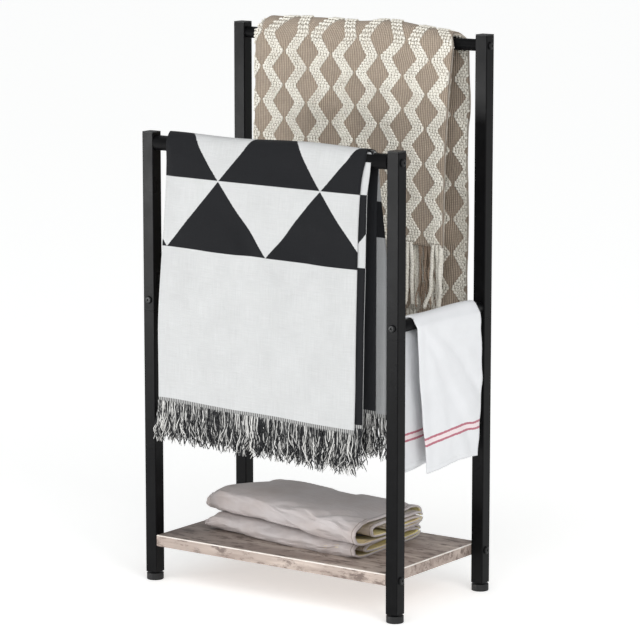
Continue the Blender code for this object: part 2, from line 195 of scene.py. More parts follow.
def black_oxide(tree, colour):
    """Screws blackened in a hot oxide bath: dark, slightly oily steel with a fine grain on the head."""
    grain = in_metres(tree).noise(1400, 3)
    return add(tree, "BsdfPrincipled", {
        "Base Color": colour, "Metallic": 0.3, "Roughness": grain.ramp(0.3, 0.7, 0.26, 0.42),
        "Normal": grain.bump(0.15, 0.0001), "Specular IOR Level": 0.3,
    })


def zinc_plate(tree, colour):
    """Zinc plating on the thread inserts: pale grey metal with a faint spangle."""
    spangle = add(tree, "TexVoronoi", {"Vector": in_metres(tree), "Scale": 900}, out="Color")
    return add(tree, "BsdfPrincipled", {
        "Base Color": colour, "Metallic": 1.0, "Roughness": spangle.ramp(0.0, 1.0, 0.28, 0.45),
    })


def moulded_plastic(tree, colour):
    """Moulded polypropylene: black with a fine spark-eroded grain, a little waxy on the rims."""
    grain = in_metres(tree).noise(1100, 2)
    return hard_surface(tree, colour, grain.ramp(0.3, 0.7, 0.42, 0.58), grain.bump(0.2, 0.0002), 0.4)


def oak_laminate(tree, pale, dark, streak, painted_end_shade):
    """Weathered-oak laminate pressed on board: greige, with long grain and darker worn streaks.

    The last argument gives how light the print is painted at the board's left end and at its right one:
    painted shade, darker towards the left end.
    """
    place = in_metres(tree)
    # The grain runs along the rack: 3 mm fibres drawn out 25 times, and cathedrals 60 mm wide.
    fibre = place.stretched(12, 300, 300).noise(1, 5, Roughness=0.62)
    ring = place.stretched(3.2, 17, 17).noise(1, 4, Distortion=1.6)
    worn = place.stretched(30, 75, 75).noise(1, 6, Roughness=0.7)
    grain = blend(fibre.ramp(0.35, 0.7, 0.0, 0.55), blend(ring.ramp(0.33, 0.66), dark, pale), dark)
    printed = blend(worn.ramp(0.50, 0.62, 0.0, 0.90), grain, streak)
    # Painted shade: the print is darkened along the board towards its left end.
    painted_side_shade = place.axis(0).ramp(-0.26, 0.24, *painted_end_shade)
    return hard_surface(tree, toned(printed, painted_side_shade), fibre.ramp(0.3, 0.7, 0.46, 0.62),
                        fibre.bump(0.3, 0.0004), 0.35)


def laminate_edge(tree, pale):
    """The eased top arris of the board: a pale, mottled line."""
    arris_mottle = in_metres(tree).noise(60, 4)
    colour = blend(arris_mottle.ramp(0.3, 0.7), pale, linear("#E4DACF"))
    return add(tree, "BsdfPrincipled", {"Base Color": colour, "Roughness": 0.55})


def jacquard(tree, light, dark, cut, reverse):
    """Cotton jacquard: charcoal triangles in a linen-like ground, with the colours swapped on the reverse.

    cut holds, in metres on the flat cut: length, hem, first row, row height, period, apex, mirror line,
    fold and the shift of the pattern past the fold.
    """
    flat = on_flat_cut(tree)
    across, along = flat.axis(0), flat.axis(1)
    across = across + across.ramp(cut["fold"] + 0.03, cut["fold"] + 0.26, 0.0, cut["shift"])
    # The cut is mirrored past the rail, so the two ends hang alike.
    mirrored = cut["mirror"] - abs(along - cut["mirror"])
    rows = (mirrored - cut["first_row"]) / cut["row"]
    row = rows.math("FLOOR")
    # Each row of triangles is set half a period on from the last.
    stepped = (across - cut["apex"]) / cut["period"] + row * 0.5
    from_apex = abs((stepped + 0.5).math("FRACT") - 0.5) * 2.0
    room = (1.0 - (rows - row)) - from_apex
    # Weft steps of about 1 mm leave a slightly ragged edge on each slope.
    ragged = flat.stretched(260, 900).noise(1, 1).ramp(0.2, 0.8, -0.008, 0.008)
    black = (room + ragged).ramp(-0.004, 0.004) * rows.ramp(-0.003, 0.003)
    # A pick of ground yarn shows between the two rows.
    black = black * abs(rows - 1.0).ramp(0.006, 0.012)
    if reverse:
        black = 1.0 - black
    # Slubs: 0.8 mm yarns, thick for 20 to 40 mm at a time, along the weft and along the warp.
    slub = (flat.stretched(28, 700).noise(1, 3, Roughness=0.6)
            + flat.stretched(700, 24).noise(1, 3, Roughness=0.6))
    tone = slub.ramp(0.6, 1.4, 0.90, 1.08) * flat.noise(14, 3).ramp(0.3, 0.7, 0.965, 1.03)
    woven = toned(blend(black, light, dark), tone)
    # The hem at each end: a band of mixed yarn, its ribs drawn twice as wide so that they show.
    to_end = along.math("MINIMUM", cut["length"] - along)
    band = to_end.ramp(cut["hem"], cut["hem"] + 0.0006, 1.0, 0.0)
    ribs = flat.waves(WAVE / 0.0042, "X", Distortion=0.6)
    colour = blend(band, woven, blend(ribs, linear("#454547"), linear("#BDBDBB")))
    # Plain weave: threads 1.6 mm apart so that they show, finer on the real cloth.
    weave = (flat.waves(200, "X", Distortion=1.2, Detail=1)
             * flat.waves(200, "Y", Distortion=1.2, Detail=1))
    relief = weave * 0.6 + slub + band * ribs
    return soft_surface(tree, colour, 0.88, relief.bump(0.55, 0.0006), 0.2, 0.06)


def marl_yarn(tree, light, dark):
    """Fringe yarn: black and natural plies twisted together, some strands nearly all of one colour."""
    shade = add(tree, "Attribute", attribute_name=SHADE, out="Fac")
    # Plies cross the strand every 5 mm.
    twist = on_flat_cut(tree).stretched(1, 200).waves(0.32, "DIAGONAL", Distortion=0.8)
    mixed = twist * 0.14 + shade.ramp(0.0, 1.0, -0.35, 0.75)
    colour = blend(mixed.ramp(0.1, 0.6), dark, light)
    return soft_surface(tree, colour, 0.9, twist.bump(0.5, 0.0006), 0.15, 0.1)


def matt_paint(tree, colour):
    """Matt white acrylic, as on a table lit from below, so that the floor stays pale under soft light."""
    return add(tree, "BsdfPrincipled", {
        "Base Color": colour, "Roughness": in_metres(tree).noise(0.7, 2).ramp(0.3, 0.7, 0.86, 0.94),
        "Specular IOR Level": 0.1, "Emission Color": colour, "Emission Strength": 0.42,
    })


def taupe_weave(tree, ground, cream, shadow, cut):
    """Chunky cotton knit: vertical ribs in taupe with painted shade, and under the braids the cream backing
    they are sewn to.
    """
    flat = on_flat_cut(tree)
    across, along = flat.axis(0), flat.axis(1)
    # Where the zigzag bands run: a triangle wave, with each band turned against the next.
    bands = (across - (cut["first"] - cut["spacing"] / 2)) / cut["spacing"]
    band = bands.math("FLOOR")
    way = abs(band.math("MODULO", 2.0)).ramp(0.0, 1.0, -cut["swing"], cut["swing"])
    turns = (along - cut["tip"]) / cut["period"]
    from_tip = abs((turns + 0.5).math("FRACT") - 0.5)
    swing = way * from_tip.ramp(0.0, 0.5, 1.0, -1.0)
    off = abs((bands - band - 0.5) * cut["spacing"] - swing)
    in_band = off.ramp(cut["width"] / 2 - 0.0012, cut["width"] / 2 + 0.0004, 1.0, 0.0)
    # Ribs and rows of stitches 3 to 4 mm apart, half as fine again on the real cloth, so that they show.
    wobble = flat.noise(55, 2, out="Color")
    bent = flat.node("VectorMath", flat, wobble.node("VectorMath", wobble, (0.0006, 0.0006, 0),
                                                     operation="MULTIPLY"), operation="ADD")
    knit = bent.waves(WAVE / 0.0040, "X") * bent.waves(WAVE / 0.0031, "Y").ramp(0.0, 1.0, 0.62, 1.0)
    flecked = (flat.noise(24, 4).ramp(0.3, 0.7, 0.93, 1.07)
               * flat.stretched(520, 90).noise(1, 2).ramp(0.3, 0.7, 0.88, 1.12))
    # Painted shade and light: each rib is painted darker in its groove and lighter on its crown; the flecks
    # are the yarn's own tone.
    ribbed = toned(ground[:3], knit.ramp(0.0, 0.9, 0.52, 1.28) * flecked)
    # Under the braids the backing is painted between the shadow colour and cream: painted shadow between the
    # stitches.
    colour = blend(in_band, ribbed, blend(knit, shadow, cream))
    return soft_surface(tree, colour, 0.92, knit.bump(0.9, 0.0016), 0.15, 0.15)


def spun_yarn(tree, light, dark, twist):
    """Spun cotton yarn: fibres laid round each strand, with painted shade: lighter on the crown, darker in
    the twist.
    """
    place = in_metres(tree)
    # Fibres cross the yarn every millimetre or so, drawn a little coarser than they are.
    lay = on_flat_cut(tree).stretched(1, twist).waves(0.32, "DIAGONAL", Distortion=0.8, Detail=1)
    fuzz = place.noise(420, 3)
    cloud = place.noise(28, 3)
    mixed = lay * 0.22 + (cloud.ramp(0.35, 0.65, 0.0, 0.3) + fuzz.ramp(0.3, 0.7, -0.12, 0.12))
    # The lay paints shade into the twist; the clouds and fuzz are the yarn's own tone.
    colour = blend(mixed, light, dark)
    return soft_surface(tree, colour, 0.9, (lay + fuzz).bump(0.5, 0.0006), 0.15, 0.12)


def striped_twill(tree, white, red, pink, cut):
    """Bleached cotton twill: two red stripes near each hem with a pale one between them, and a sewn hem."""
    flat = on_flat_cut(tree)
    along = flat.axis(1)
    to_end = along.math("MINIMUM", cut["length"] - along)
    edge = to_end + flat.noise(260, 2).ramp(0.3, 0.7, -0.0005, 0.0005)
    lower, upper = cut["stripes"]
    half, apart = cut["stripe_width"] / 2, abs(lower - upper) / 2
    near = abs(edge - lower).math("MINIMUM", abs(edge - upper))
    stripe = near.ramp(half - 0.0004, half + 0.0004, 1.0, 0.0)
    blush = abs(edge - (lower + upper) / 2).ramp(apart - 0.0015, apart, 1.0, 0.0)
    # Twill lines 1.6 mm apart, and warp threads that tint the stripe.
    twill = flat.waves(WAVE / 0.0016, "DIAGONAL", Distortion=0.5)
    ground = blend(blush * 0.55, white, pink)
    colour = blend(stripe * twill.ramp(0.0, 1.0, 0.8, 0.95), ground, red)
    colour = toned(colour, flat.noise(20, 3).ramp(0.3, 0.7, 0.97, 1.02))
    sewn = abs(to_end - cut["hem"]).ramp(0.0002, 0.0010, -1.6, 0.0)
    relief = twill + flat.noise(420, 3) + sewn
    return soft_surface(tree, colour, 0.92, relief.bump(0.45, 0.0006), 0.2, 0.2, 0.4)


def sateen(tree, colour, warm, edge_line):
    """Washed cotton sateen: smooth and close, with a soft sheen, fine threads and faint creases."""
    flat, place = on_flat_cut(tree), in_metres(tree)
    tinted = blend(place.noise(9, 4, Roughness=0.6).ramp(0.38, 0.66), colour, warm)
    # Threads 0.9 mm apart, the finest that show.
    threads = (flat.waves(WAVE / 0.0009, "X", Distortion=1.0)
               * flat.waves(WAVE / 0.0011, "Y", Distortion=1.0) * 0.12)
    crease = place.stretched(16, 34, 60).noise(1, 5, Roughness=0.55, Distortion=0.6)
    # A darker line runs 7 mm in from the cut edge at the open end.
    near_edge = abs(flat.axis(0) - 0.007).ramp(0.0004, 0.0014, 1.0, 0.0)
    sewn = blend(near_edge, toned(tinted, threads.ramp(0.0, 0.12, 0.96, 1.02)), edge_line)
    return soft_surface(tree, sewn, 0.78, (crease * 5.0 + threads).bump(0.4, 0.0016), 0.25, 0.2, 0.35)


# ---------------------------------------------------------------------------------------------------
# Modelling helpers for the rigid pieces


def choose(piece):
    """Makes this piece the active one, alone in the selection."""
    bpy.ops.object.select_all(action="DESELECT")
    bpy.context.view_layer.objects.active = piece
    piece.select_set(True)


def start(name, primitive, **placing):
    """Adds a primitive at its size and place, alone in the selection."""
    bpy.ops.object.select_all(action="DESELECT")
    primitive(**placing)
    piece = bpy.context.active_object
    piece.name = piece.data.name = name
    bpy.ops.object.transform_apply(location=True, rotation=True, scale=True)
    return piece


def pick(piece, mode, test):
    """In edit mode, selects only the faces or edges whose middle, and normal for faces, pass the test."""
    bpy.ops.object.mode_set(mode="OBJECT")
    mesh = piece.data
    for element in (*mesh.vertices, *mesh.edges, *mesh.polygons):
        element.select = False
    points = [v.co for v in mesh.vertices]
    if mode == "FACE":
        chosen = [face for face in mesh.polygons if test(face.center, face.normal)]
    else:
        chosen = [edge for edge in mesh.edges if test(*(points[i] for i in edge.vertices))]
    if not chosen:
        raise RuntimeError(f"{piece.name}: nothing to shape there")
    for element in chosen:
        element.select = True
    bpy.ops.object.mode_set(mode="EDIT")
    bpy.ops.mesh.select_mode(type=mode)


def apply(piece, kind, name, **settings):
    """Adds a modifier and applies it."""
    modifier = piece.modifiers.new(name, kind)
    for key, value in settings.items():
        setattr(modifier, key, value)
    choose(piece)
    bpy.ops.object.modifier_apply(modifier=modifier.name)


def eased(piece, width, segments, sharper_than, smooth_to=35):
    """Rounds the edges sharper than an angle and shades the piece smooth."""
    apply(piece, "BEVEL", "eased", width=width, segments=segments, limit_method="ANGLE",
          angle_limit=radians(sharper_than))
    smooth(piece, smooth_to)
    return piece


def smooth(piece, degrees):
    choose(piece)
    bpy.ops.object.shade_smooth_by_angle(angle=radians(degrees))


def copy_at(piece, name, move):
    """A copy with its own mesh, moved there."""
    twin = piece.copy()
    twin.data = piece.data.copy()
    twin.name = twin.data.name = name
    twin.data.transform(move)
    bpy.context.scene.collection.objects.link(twin)
    return twin


def belongs(piece, body, slot, *materials, replaced=()):
    """Gives the piece its finish and its body, and hides the frame nodes that it stands for."""
    for material in materials:
        piece.data.materials.append(material)
    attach(piece, body)
    if replaced:
        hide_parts(*replaced)
    return piece


def paint(names, *materials):
    """Puts materials on frame nodes that stay as they are."""
    for name in names:
        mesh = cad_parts[name].data
        mesh.materials.clear()
        for material in materials:
            mesh.materials.append(material)


CORNERS = ("front_left", "front_right", "rear_left", "rear_right")
RAILS = ("front_rail", "rear_rail", "left_side_rail", "right_side_rail")


def model_rail(node):
    """A drawn steel tube between two posts, open at its rounded ends."""
    low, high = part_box(node)
    size = high - low
    along_x = size.x > size.y
    turned = (0, pi / 2, 0) if along_x else (pi / 2, 0, 0)
    rail = start(node + "_tube", bpy.ops.mesh.primitive_cylinder_add, vertices=72, radius=size.z / 2,
                 depth=max(size.x, size.y), location=(low + high) / 2, rotation=turned)
    pick(rail, "FACE", lambda at, normal: abs(normal.x if along_x else normal.y) > 0.9999)
    bpy.ops.mesh.inset(thickness=0.0012, use_individual=True)
    bpy.ops.mesh.extrude_region_shrink_fatten(TRANSFORM_OT_shrink_fatten={"value": -0.003})
    bpy.ops.object.mode_set(mode="OBJECT")
    return eased(rail, 0.0004, 2, 60)


def model_cap(corner, plate=0.002):
    """A pressed-in post cap: a square plate with eased edges, and its plug inside the tube."""
    low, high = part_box(f"{corner}_post_cap")
    side = high.x - low.x
    middle = Vector(((low.x + high.x) / 2, (low.y + high.y) / 2, high.z - plate / 2))
    cap = start(f"{corner}_cap", bpy.ops.mesh.primitive_cube_add, size=1, location=middle,
                scale=(side, side, plate))
    pick(cap, "EDGE", lambda a, b: abs(a.z - b.z) > 1e-4)
    bpy.ops.mesh.bevel(offset=0.0016, segments=6)
    pick(cap, "FACE", lambda at, normal: normal.z > 0.9)
    bpy.ops.mesh.inset(thickness=0.0008)
    pick(cap, "FACE", lambda at, normal: normal.z < -0.9)
    bpy.ops.mesh.inset(thickness=0.0019)
    bpy.ops.mesh.extrude_region_move(TRANSFORM_OT_translate={"value": (0, 0, low.z - (high.z - plate))})
    bpy.ops.object.mode_set(mode="OBJECT")
    return eased(cap, 0.0006, 3, 50, 40)


def model_bolt(name, radius, height, socket):
    """A button-head screw at the origin, head up: a domed head with a hexagon socket."""
    bolt = start(name, bpy.ops.mesh.primitive_cylinder_add, vertices=48, radius=radius, depth=height,
                 location=(0, 0, height / 2))
    pick(bolt, "FACE", lambda at, normal: normal.z > 0.9)
    bpy.ops.mesh.inset(thickness=radius - socket * 1.35)
    pick(bolt, "EDGE", lambda a, b: min(a.z, b.z) > height - 1e-6
         and abs(a.xy.length - radius) < 1e-5 and abs(b.xy.length - radius) < 1e-5)
    bpy.ops.mesh.bevel(offset=height * 0.62, segments=6)
    bpy.ops.object.mode_set(mode="OBJECT")
    key = start(name + "_key", bpy.ops.mesh.primitive_cylinder_add, vertices=6, radius=socket,
                depth=height, location=(0, 0, height * 0.95))
    apply(bolt, "BOOLEAN", "socket", object=key, solver="EXACT")
    bpy.data.objects.remove(key)
    smooth(bolt, 30)
    return bolt


def model_foot(corner, pad=0.013, sides=64):
    """A levelling foot: a round pad with eased rims and grip flutes, and the threaded stud above it."""
    low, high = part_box(f"{corner}_foot")
    at = (low + high) / 2
    radius = (high.x - low.x) / 2
    middle = Vector((at.x, at.y, low.z + pad / 2))
    foot = start(f"{corner}_levelling_foot", bpy.ops.mesh.primitive_cylinder_add, vertices=sides,
                 radius=radius, depth=pad, location=middle)
    collar = 0.0022
    pick(foot, "FACE", lambda c, normal: normal.z > 0.9)
    bpy.ops.mesh.inset(thickness=radius - 0.0065)
    bpy.ops.mesh.extrude_region_move(TRANSFORM_OT_translate={"value": (0, 0, collar)})
    bpy.ops.mesh.inset(thickness=0.0025)
    stud = high.z - (low.z + pad) - collar
    bpy.ops.mesh.extrude_region_move(TRANSFORM_OT_translate={"value": (0, 0, stud)})

    # A fine flute on every second face of the rim gives the fingers a grip.
    def fluted(c, normal):
        out = c - middle
        step = round(np.arctan2(out.y, out.x) / (2 * pi / sides) - 0.5)
        return abs(normal.z) < 0.1 and out.xy.length > radius * 0.9 and step % 2 == 0

    pick(foot, "FACE", fluted)
    bpy.ops.mesh.inset(thickness=0.00028, use_individual=True)
    bpy.ops.transform.resize(value=(0.982, 0.982, 0.8), center_override=middle)
    bpy.ops.object.mode_set(mode="OBJECT")
    return eased(foot, 0.0011, 3, 62, 40)


def model_shelf():
    """The oak-laminate board, with its arrises eased so that a pale line shows along the top ones."""
    low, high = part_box("shelf_board")
    board = start("oak_shelf", bpy.ops.mesh.primitive_cube_add, size=1, location=(low + high) / 2,
                  scale=high - low)
    pick(board, "EDGE", lambda a, b: True)
    bpy.ops.mesh.bevel(offset=0.0019, segments=2)
    bpy.ops.object.mode_set(mode="OBJECT")
    # Slot 0 is the print on top, 1 the arris round it, and 2 the sides and underside.
    for face in board.data.polygons:
        flat_side = max(abs(n) for n in face.normal) > 0.999
        face.material_index = (0 if face.normal.z > 0.5 else 2) if flat_side or face.normal.z < 0.1 else 1
    smooth(board, 30)
    return board


# ---------------------------------------------------------------------------------------------------
# Cloth


def unit(vectors):
    return vectors / np.maximum(np.linalg.norm(vectors, axis=-1, keepdims=True), 1e-9)


def mesh_piece(name, points, faces, flat):
    """A smooth mesh of these points and faces; flat gives each point's place on the flat cut, as its UV."""
    mesh = bpy.data.meshes.new(name)
    mesh.from_pydata(points.reshape(-1, 3).tolist(), [], faces)
    corners = np.empty(len(mesh.loops), np.int32)
    mesh.loops.foreach_get("vertex_index", corners)
    layer = mesh.uv_layers.new(name=FLAT_CUT)
    layer.data.foreach_set("uv", flat.reshape(-1, 2)[corners].astype(np.float32).ravel())
    for face in mesh.polygons:
        face.use_smooth = True
    mesh.update()
    piece = bpy.data.objects.new(name, mesh)
    bpy.context.scene.collection.objects.link(piece)
    return piece


class Cloth:
    """A cloth as a grid of points: rows run along the cut, columns across it."""

    def __init__(self, points, across, along):
        self.points = np.asarray(points, float)
        self.across, self.along = np.broadcast_arrays(across, along)

    def piece(self, name):
        """A quad mesh of the grid, with the flat cut in metres as its UV map."""
        rows, columns = self.points.shape[:2]
        index = np.arange(rows * columns).reshape(rows, columns)
        quads = np.stack([index[:-1, :-1], index[1:, :-1], index[1:, 1:], index[:-1, 1:]], -1)
        quads = quads.reshape(-1, 4)
        return mesh_piece(name, self.points, quads.tolist(), np.stack([self.across, self.along], -1))

    def read(self, piece):
        """Takes the grid's points back from the piece."""
        flat = np.empty(len(piece.data.vertices) * 3, np.float32)
        piece.data.vertices.foreach_get("co", flat)
        self.points = flat.reshape(self.points.shape).astype(float)

    def normals(self):
        """A unit normal for each point, facing the way the faces do."""
        down = np.gradient(self.points, axis=0)
        side = np.gradient(self.points, axis=1)
        return unit(np.cross(down, side))

    def at(self, row, column):
        """(points, normals) between the grid's points, at fractional rows and columns."""
        rows, columns = self.points.shape[:2]
        row = np.clip(row, 0, rows - 1.001)
        column = np.clip(column, 0, columns - 1.001)
        r, c = row.astype(int), column.astype(int)
        fr, fc = (row - r)[..., None], (column - c)[..., None]
        found = []
        for grid in (self.points, self.normals()):
            top = grid[r, c] * (1 - fc) + grid[r, c + 1] * fc
            low = grid[r + 1, c] * (1 - fc) + grid[r + 1, c + 1] * fc
            found.append(top * (1 - fr) + low * fr)
        return found

    def hem(self, end, column):
        """(points, normals) along the hem at the front end or the back one."""
        return self.at(np.full(len(column), 0.0 if end == "front" else len(self.points) - 1.01), column)


def rail_of(node):
    """The middle of a rail that runs along x, as y and z, and its radius."""
    low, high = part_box(node)
    return (low.y + high.y) / 2, (low.z + high.z) / 2, (high.z - low.z) / 2


def ripples(x, y, seed, wavelength, count=7):
    """Smooth waves over the cloth, about -1 to 1, the same each time for a seed."""
    draw = np.random.default_rng(seed)
    total = np.zeros(np.broadcast(x, y).shape)
    for _ in range(count):
        turn, phase = draw.uniform(0, 2 * pi, 2)
        rate = 2 * pi / (wavelength * draw.uniform(0.7, 1.6))
        total = total + np.sin(rate * (x * cos(turn) + y * sin(turn)) + phase)
    return total / sqrt(count) / 1.2


def ease(x):
    """0 below 0, 1 above 1 and smooth between."""
    x = np.clip(x, 0, 1)
    return x * x * (3 - 2 * x)


def simulate(piece, cloth, held, frames, reach, physics, touching, weightless=False, in_plane=1.0):
    """Runs the cloth for some frames from its modelled shape and keeps what it does, up to reach a point.

    held is 1 where a point can't move. physics and touching are the cloth's own settings and its collision
    settings. in_plane is the share kept of each move along the cloth, so that a woven pattern stays straight.
    """
    group = piece.vertex_groups.new(name="held")
    for index in np.flatnonzero(held.ravel() > 0):
        group.add([int(index)], float(held.ravel()[index]), "REPLACE")
    hang = piece.modifiers.new("hang", "CLOTH")
    for owner, values in ((hang.settings, physics), (hang.collision_settings, touching)):
        for key, value in values.items():
            setattr(owner, key, value)
    hang.settings.vertex_group_mass = group.name
    if weightless:
        hang.settings.effector_weights.gravity = 0
    hang.point_cache.frame_end = frames + 1
    before = cloth.points.copy()
    for number in range(1, frames + 1):
        bpy.context.scene.frame_set(number)
    choose(piece)
    bpy.ops.object.modifier_apply(modifier=hang.name)
    bpy.context.scene.frame_set(1)
    piece.vertex_groups.clear()
    cloth.read(piece)
    move = cloth.points - before
    if not np.isfinite(move).all():
        raise RuntimeError(f"{piece.name} didn't settle")
    size = np.linalg.norm(move, axis=2, keepdims=True)
    move = move * np.minimum(1, reach / np.maximum(size, 1e-9))
    cloth.points = before + move * np.array([in_plane, 1.0, in_plane])
    piece.data.vertices.foreach_set("co", cloth.points.astype(np.float32).ravel())
    piece.data.update()


def settle(piece, cloth, rail, settings, gap, bending, reach, in_plane=1.0):
    """Lets a draped cloth hang from the top of its rail, which it can't pass through.

    rail is its two ends and its radius, and gap keeps the cloth's layers apart.
    """
    low, high, radius = rail
    middle, span = (Vector(low) + Vector(high)) / 2, Vector(high) - Vector(low)
    bpy.ops.object.select_all(action="DESELECT")
    bpy.ops.mesh.primitive_cylinder_add(vertices=32, radius=radius, depth=span.length, location=middle,
                                        rotation=span.to_track_quat("Z", "Y").to_euler())
    rod = bpy.context.active_object
    rod.modifiers.new("solid", "COLLISION")
    rod.collision.thickness_outer = 0.0008
    rod.collision.cloth_friction = 20
    held = np.where(cloth.down < 0.004, 1.0, 0.0) * np.ones(cloth.points.shape[:2])
    physics = {
        "quality": 7, "mass": 0.02, "tension_stiffness": 18, "compression_stiffness": 18,
        "shear_stiffness": 8, "bending_stiffness": bending, "air_damping": 3, "pin_stiffness": 1,
    }
    touching = {
        "distance_min": 0.0008, "collision_quality": 3, "use_self_collision": True,
        "self_distance_min": gap, "self_friction": 8,
    }
    simulate(piece, cloth, held, settings.frames, reach, physics, touching, in_plane=in_plane)
    bpy.data.objects.remove(rod)


def thicken(piece, thickness, inner=1):
    """Smooths the cloth and gives it its real thickness, inwards from its face side."""
    smoother = piece.modifiers.new("soft", "SUBSURF")
    smoother.levels = smoother.render_levels = 1
    smoother.boundary_smooth = "PRESERVE_CORNERS"
    solid = piece.modifiers.new("cloth", "SOLIDIFY")
    solid.thickness, solid.offset = thickness, -1
    solid.material_offset, solid.material_offset_rim = inner, 0
    choose(piece)
    bpy.ops.object.modifier_apply(modifier=smoother.name)
    bpy.ops.object.modifier_apply(modifier=solid.name)
    for face in piece.data.polygons:
        face.use_smooth = True


def round_about(lines):
    """The length run along each line, and two directions square to it at every step."""
    along = np.gradient(lines, axis=1)
    along /= np.maximum(np.linalg.norm(along, axis=2, keepdims=True), 1e-9)
    side = np.cross(along, (0.3, 0.9, 0.1))
    side /= np.linalg.norm(side, axis=2, keepdims=True)
    step = np.linalg.norm(np.diff(lines, axis=1), axis=2)
    run = np.concatenate([np.zeros((len(lines), 1)), np.cumsum(step, axis=1)], axis=1)
    return run, side, np.cross(along, side)


def tubes(name, centres, radii, sides, shades=None):
    """Strands as one mesh of closed tubes: centres (strand, step, 3) and radii (strand, step)."""
    count, steps = centres.shape[:2]
    run, side, other = round_about(centres)
    turn = np.arange(sides) * 2 * pi / sides
    ring = (np.cos(turn)[:, None] * side[:, :, None] + np.sin(turn)[:, None] * other[:, :, None])
    points = centres[:, :, None] + ring * radii[:, :, None, None]
    index = np.arange(count * steps * sides).reshape(count, steps, sides)
    after = np.roll(index, -1, axis=2)
    walls = np.stack([index[:, :-1], after[:, :-1], after[:, 1:], index[:, 1:]], -1).reshape(-1, 4)
    faces = walls.tolist() + index[:, 0, ::-1].tolist() + index[:, -1].tolist()
    flat = np.empty((count, steps, sides, 2))
    flat[..., 0] = (np.arange(sides) / sides)[None, None]
    flat[..., 1] = (run + np.arange(count)[:, None] * STRAND_SHIFT)[:, :, None]
    piece = mesh_piece(name, points, faces, flat)
    if shades is not None:
        shade = piece.data.attributes.new(SHADE, "FLOAT", "POINT")
        shade.data.foreach_set("value", np.repeat(shades, steps * sides).astype(np.float32))
    return piece


def hanging_strands(roots, draw, length, curl, splay, steps, lock=1):
    """Centrelines of loose strands that hang from their roots and curl more towards their ends.

    Neighbours that share a lock lean and wave together.
    """
    count = len(roots)
    in_lock = np.arange(count) // lock
    share = np.linspace(0, 1, steps)[None, :, None]
    reach = draw.uniform(*length, count)[:, None, None]
    down = np.array([0, 0, -1.0])
    forward = np.cross(SIDEWAYS, down)
    leaning = draw.normal(0, splay, (count, 1, 1))[in_lock] + draw.normal(0, splay * 0.45, (count, 1, 1))
    lean = leaning * SIDEWAYS + draw.normal(0, splay * 0.5, (count, 1, 1)) * forward
    line = roots[:, None] + reach * share * down + reach * share**1.4 * lean
    for turns in (0.9, 2.1):
        phase = draw.uniform(0, 2 * pi, (count, 1, 2))[in_lock] + draw.normal(0, 0.5, (count, 1, 2))
        rate = draw.uniform(0.7, 1.3, (count, 1, 1)) * turns * 2 * pi
        wave = np.sin(rate * share + phase)
        grown = curl / turns * share * draw.uniform(0.4, 1.5, (count, 1, 1))
        line = line + grown * (wave[..., :1] * SIDEWAYS + 0.6 * wave[..., 1:] * forward)
    return line


def folded_drape(rail, spans, hems, gaps, bulge, half, step):
    """A cloth folded in half across its width, with the fold on the left, and hung over a rail along x.

    rail is (y, z, radius). spans(side, down, top) gives the x of the fold, the outer layer's free edge and
    the inner layer's, at a distance down from the rail, on side 1 in front and -1 behind; top runs from 1
    on top of the rail to 0 beside it. hems gives how far each end hangs below the rail's axis, gaps how far
    the inner and the outer layer stand off, bulge(x) how far they rise more, and half the folded width.
    """
    rail_y, rail_z, radius = rail
    inner_gap, outer_gap = gaps
    quarter = (radius + (inner_gap + outer_gap) / 2) * pi / 2
    front, back = hems
    length = front + back + 2 * quarter
    rows = int(round(length / step)) + 1
    columns_layer = int(round(half / step)) + 1
    fold_steps = 6
    # Each column is a share of the outer layer, a turn of the fold, or a share of the inner layer.
    outer_share = np.linspace(1, 0, columns_layer)
    fold_turn = np.linspace(0, pi, fold_steps + 2)[1:-1]
    inner_share = np.linspace(0, 1, columns_layer)
    share = np.concatenate([outer_share, np.zeros(fold_steps), inner_share])
    turn = np.concatenate([np.zeros(columns_layer), fold_turn, np.full(columns_layer, pi)])
    is_inner = np.concatenate([np.zeros(columns_layer + fold_steps), np.ones(columns_layer)])
    along = np.linspace(0, length, rows)
    travel = front + quarter - along  # towards the front from the top of the rail
    side = np.where(travel >= 0, 1.0, -1.0)[:, None]
    down = np.maximum(np.abs(travel) - quarter, 0)[:, None]
    angle = np.clip(travel / quarter, -1, 1)[:, None] * pi / 2
    fold_x, outer_x, inner_x = (np.asarray(v, float) for v in spans(side, down, np.cos(angle)))
    end_x = outer_x * (1 - is_inner) + inner_x * is_inner
    off = (outer_gap + inner_gap) / 2 + (outer_gap - inner_gap) / 2 * np.cos(turn)
    x = fold_x + (end_x - fold_x) * share - (outer_gap - inner_gap) / 2 * np.sin(turn)
    away = radius + off
    rise = away + bulge(x) * (off / outer_gap)
    y = rail_y - away * np.sin(angle)
    z = rail_z + rise * np.cos(angle) - down
    points = np.stack(np.broadcast_arrays(x, y, z), -1)
    width = 2 * half + (outer_gap - inner_gap) * pi / 2
    across = np.concatenate([
        half * (1 - outer_share),
        half + (outer_gap - inner_gap) / 2 * fold_turn,
        width - half * (1 - inner_share),
    ])
    cloth = Cloth(points, across[None], along[:, None])
    cloth.down, cloth.side, cloth.is_inner, cloth.columns_layer = down, side, is_inner, columns_layer
    cloth.size = (width, length)
    return cloth


# ---------------------------------------------------------------------------------------------------
# The front throw


FRONT_CUT = {
    "length": 0.9947, "hem": 0.009, "first_row": 0.294, "mirror": 0.553, "apex": 0.0878, "fold": 0.445,
    "shift": 0.055,
}


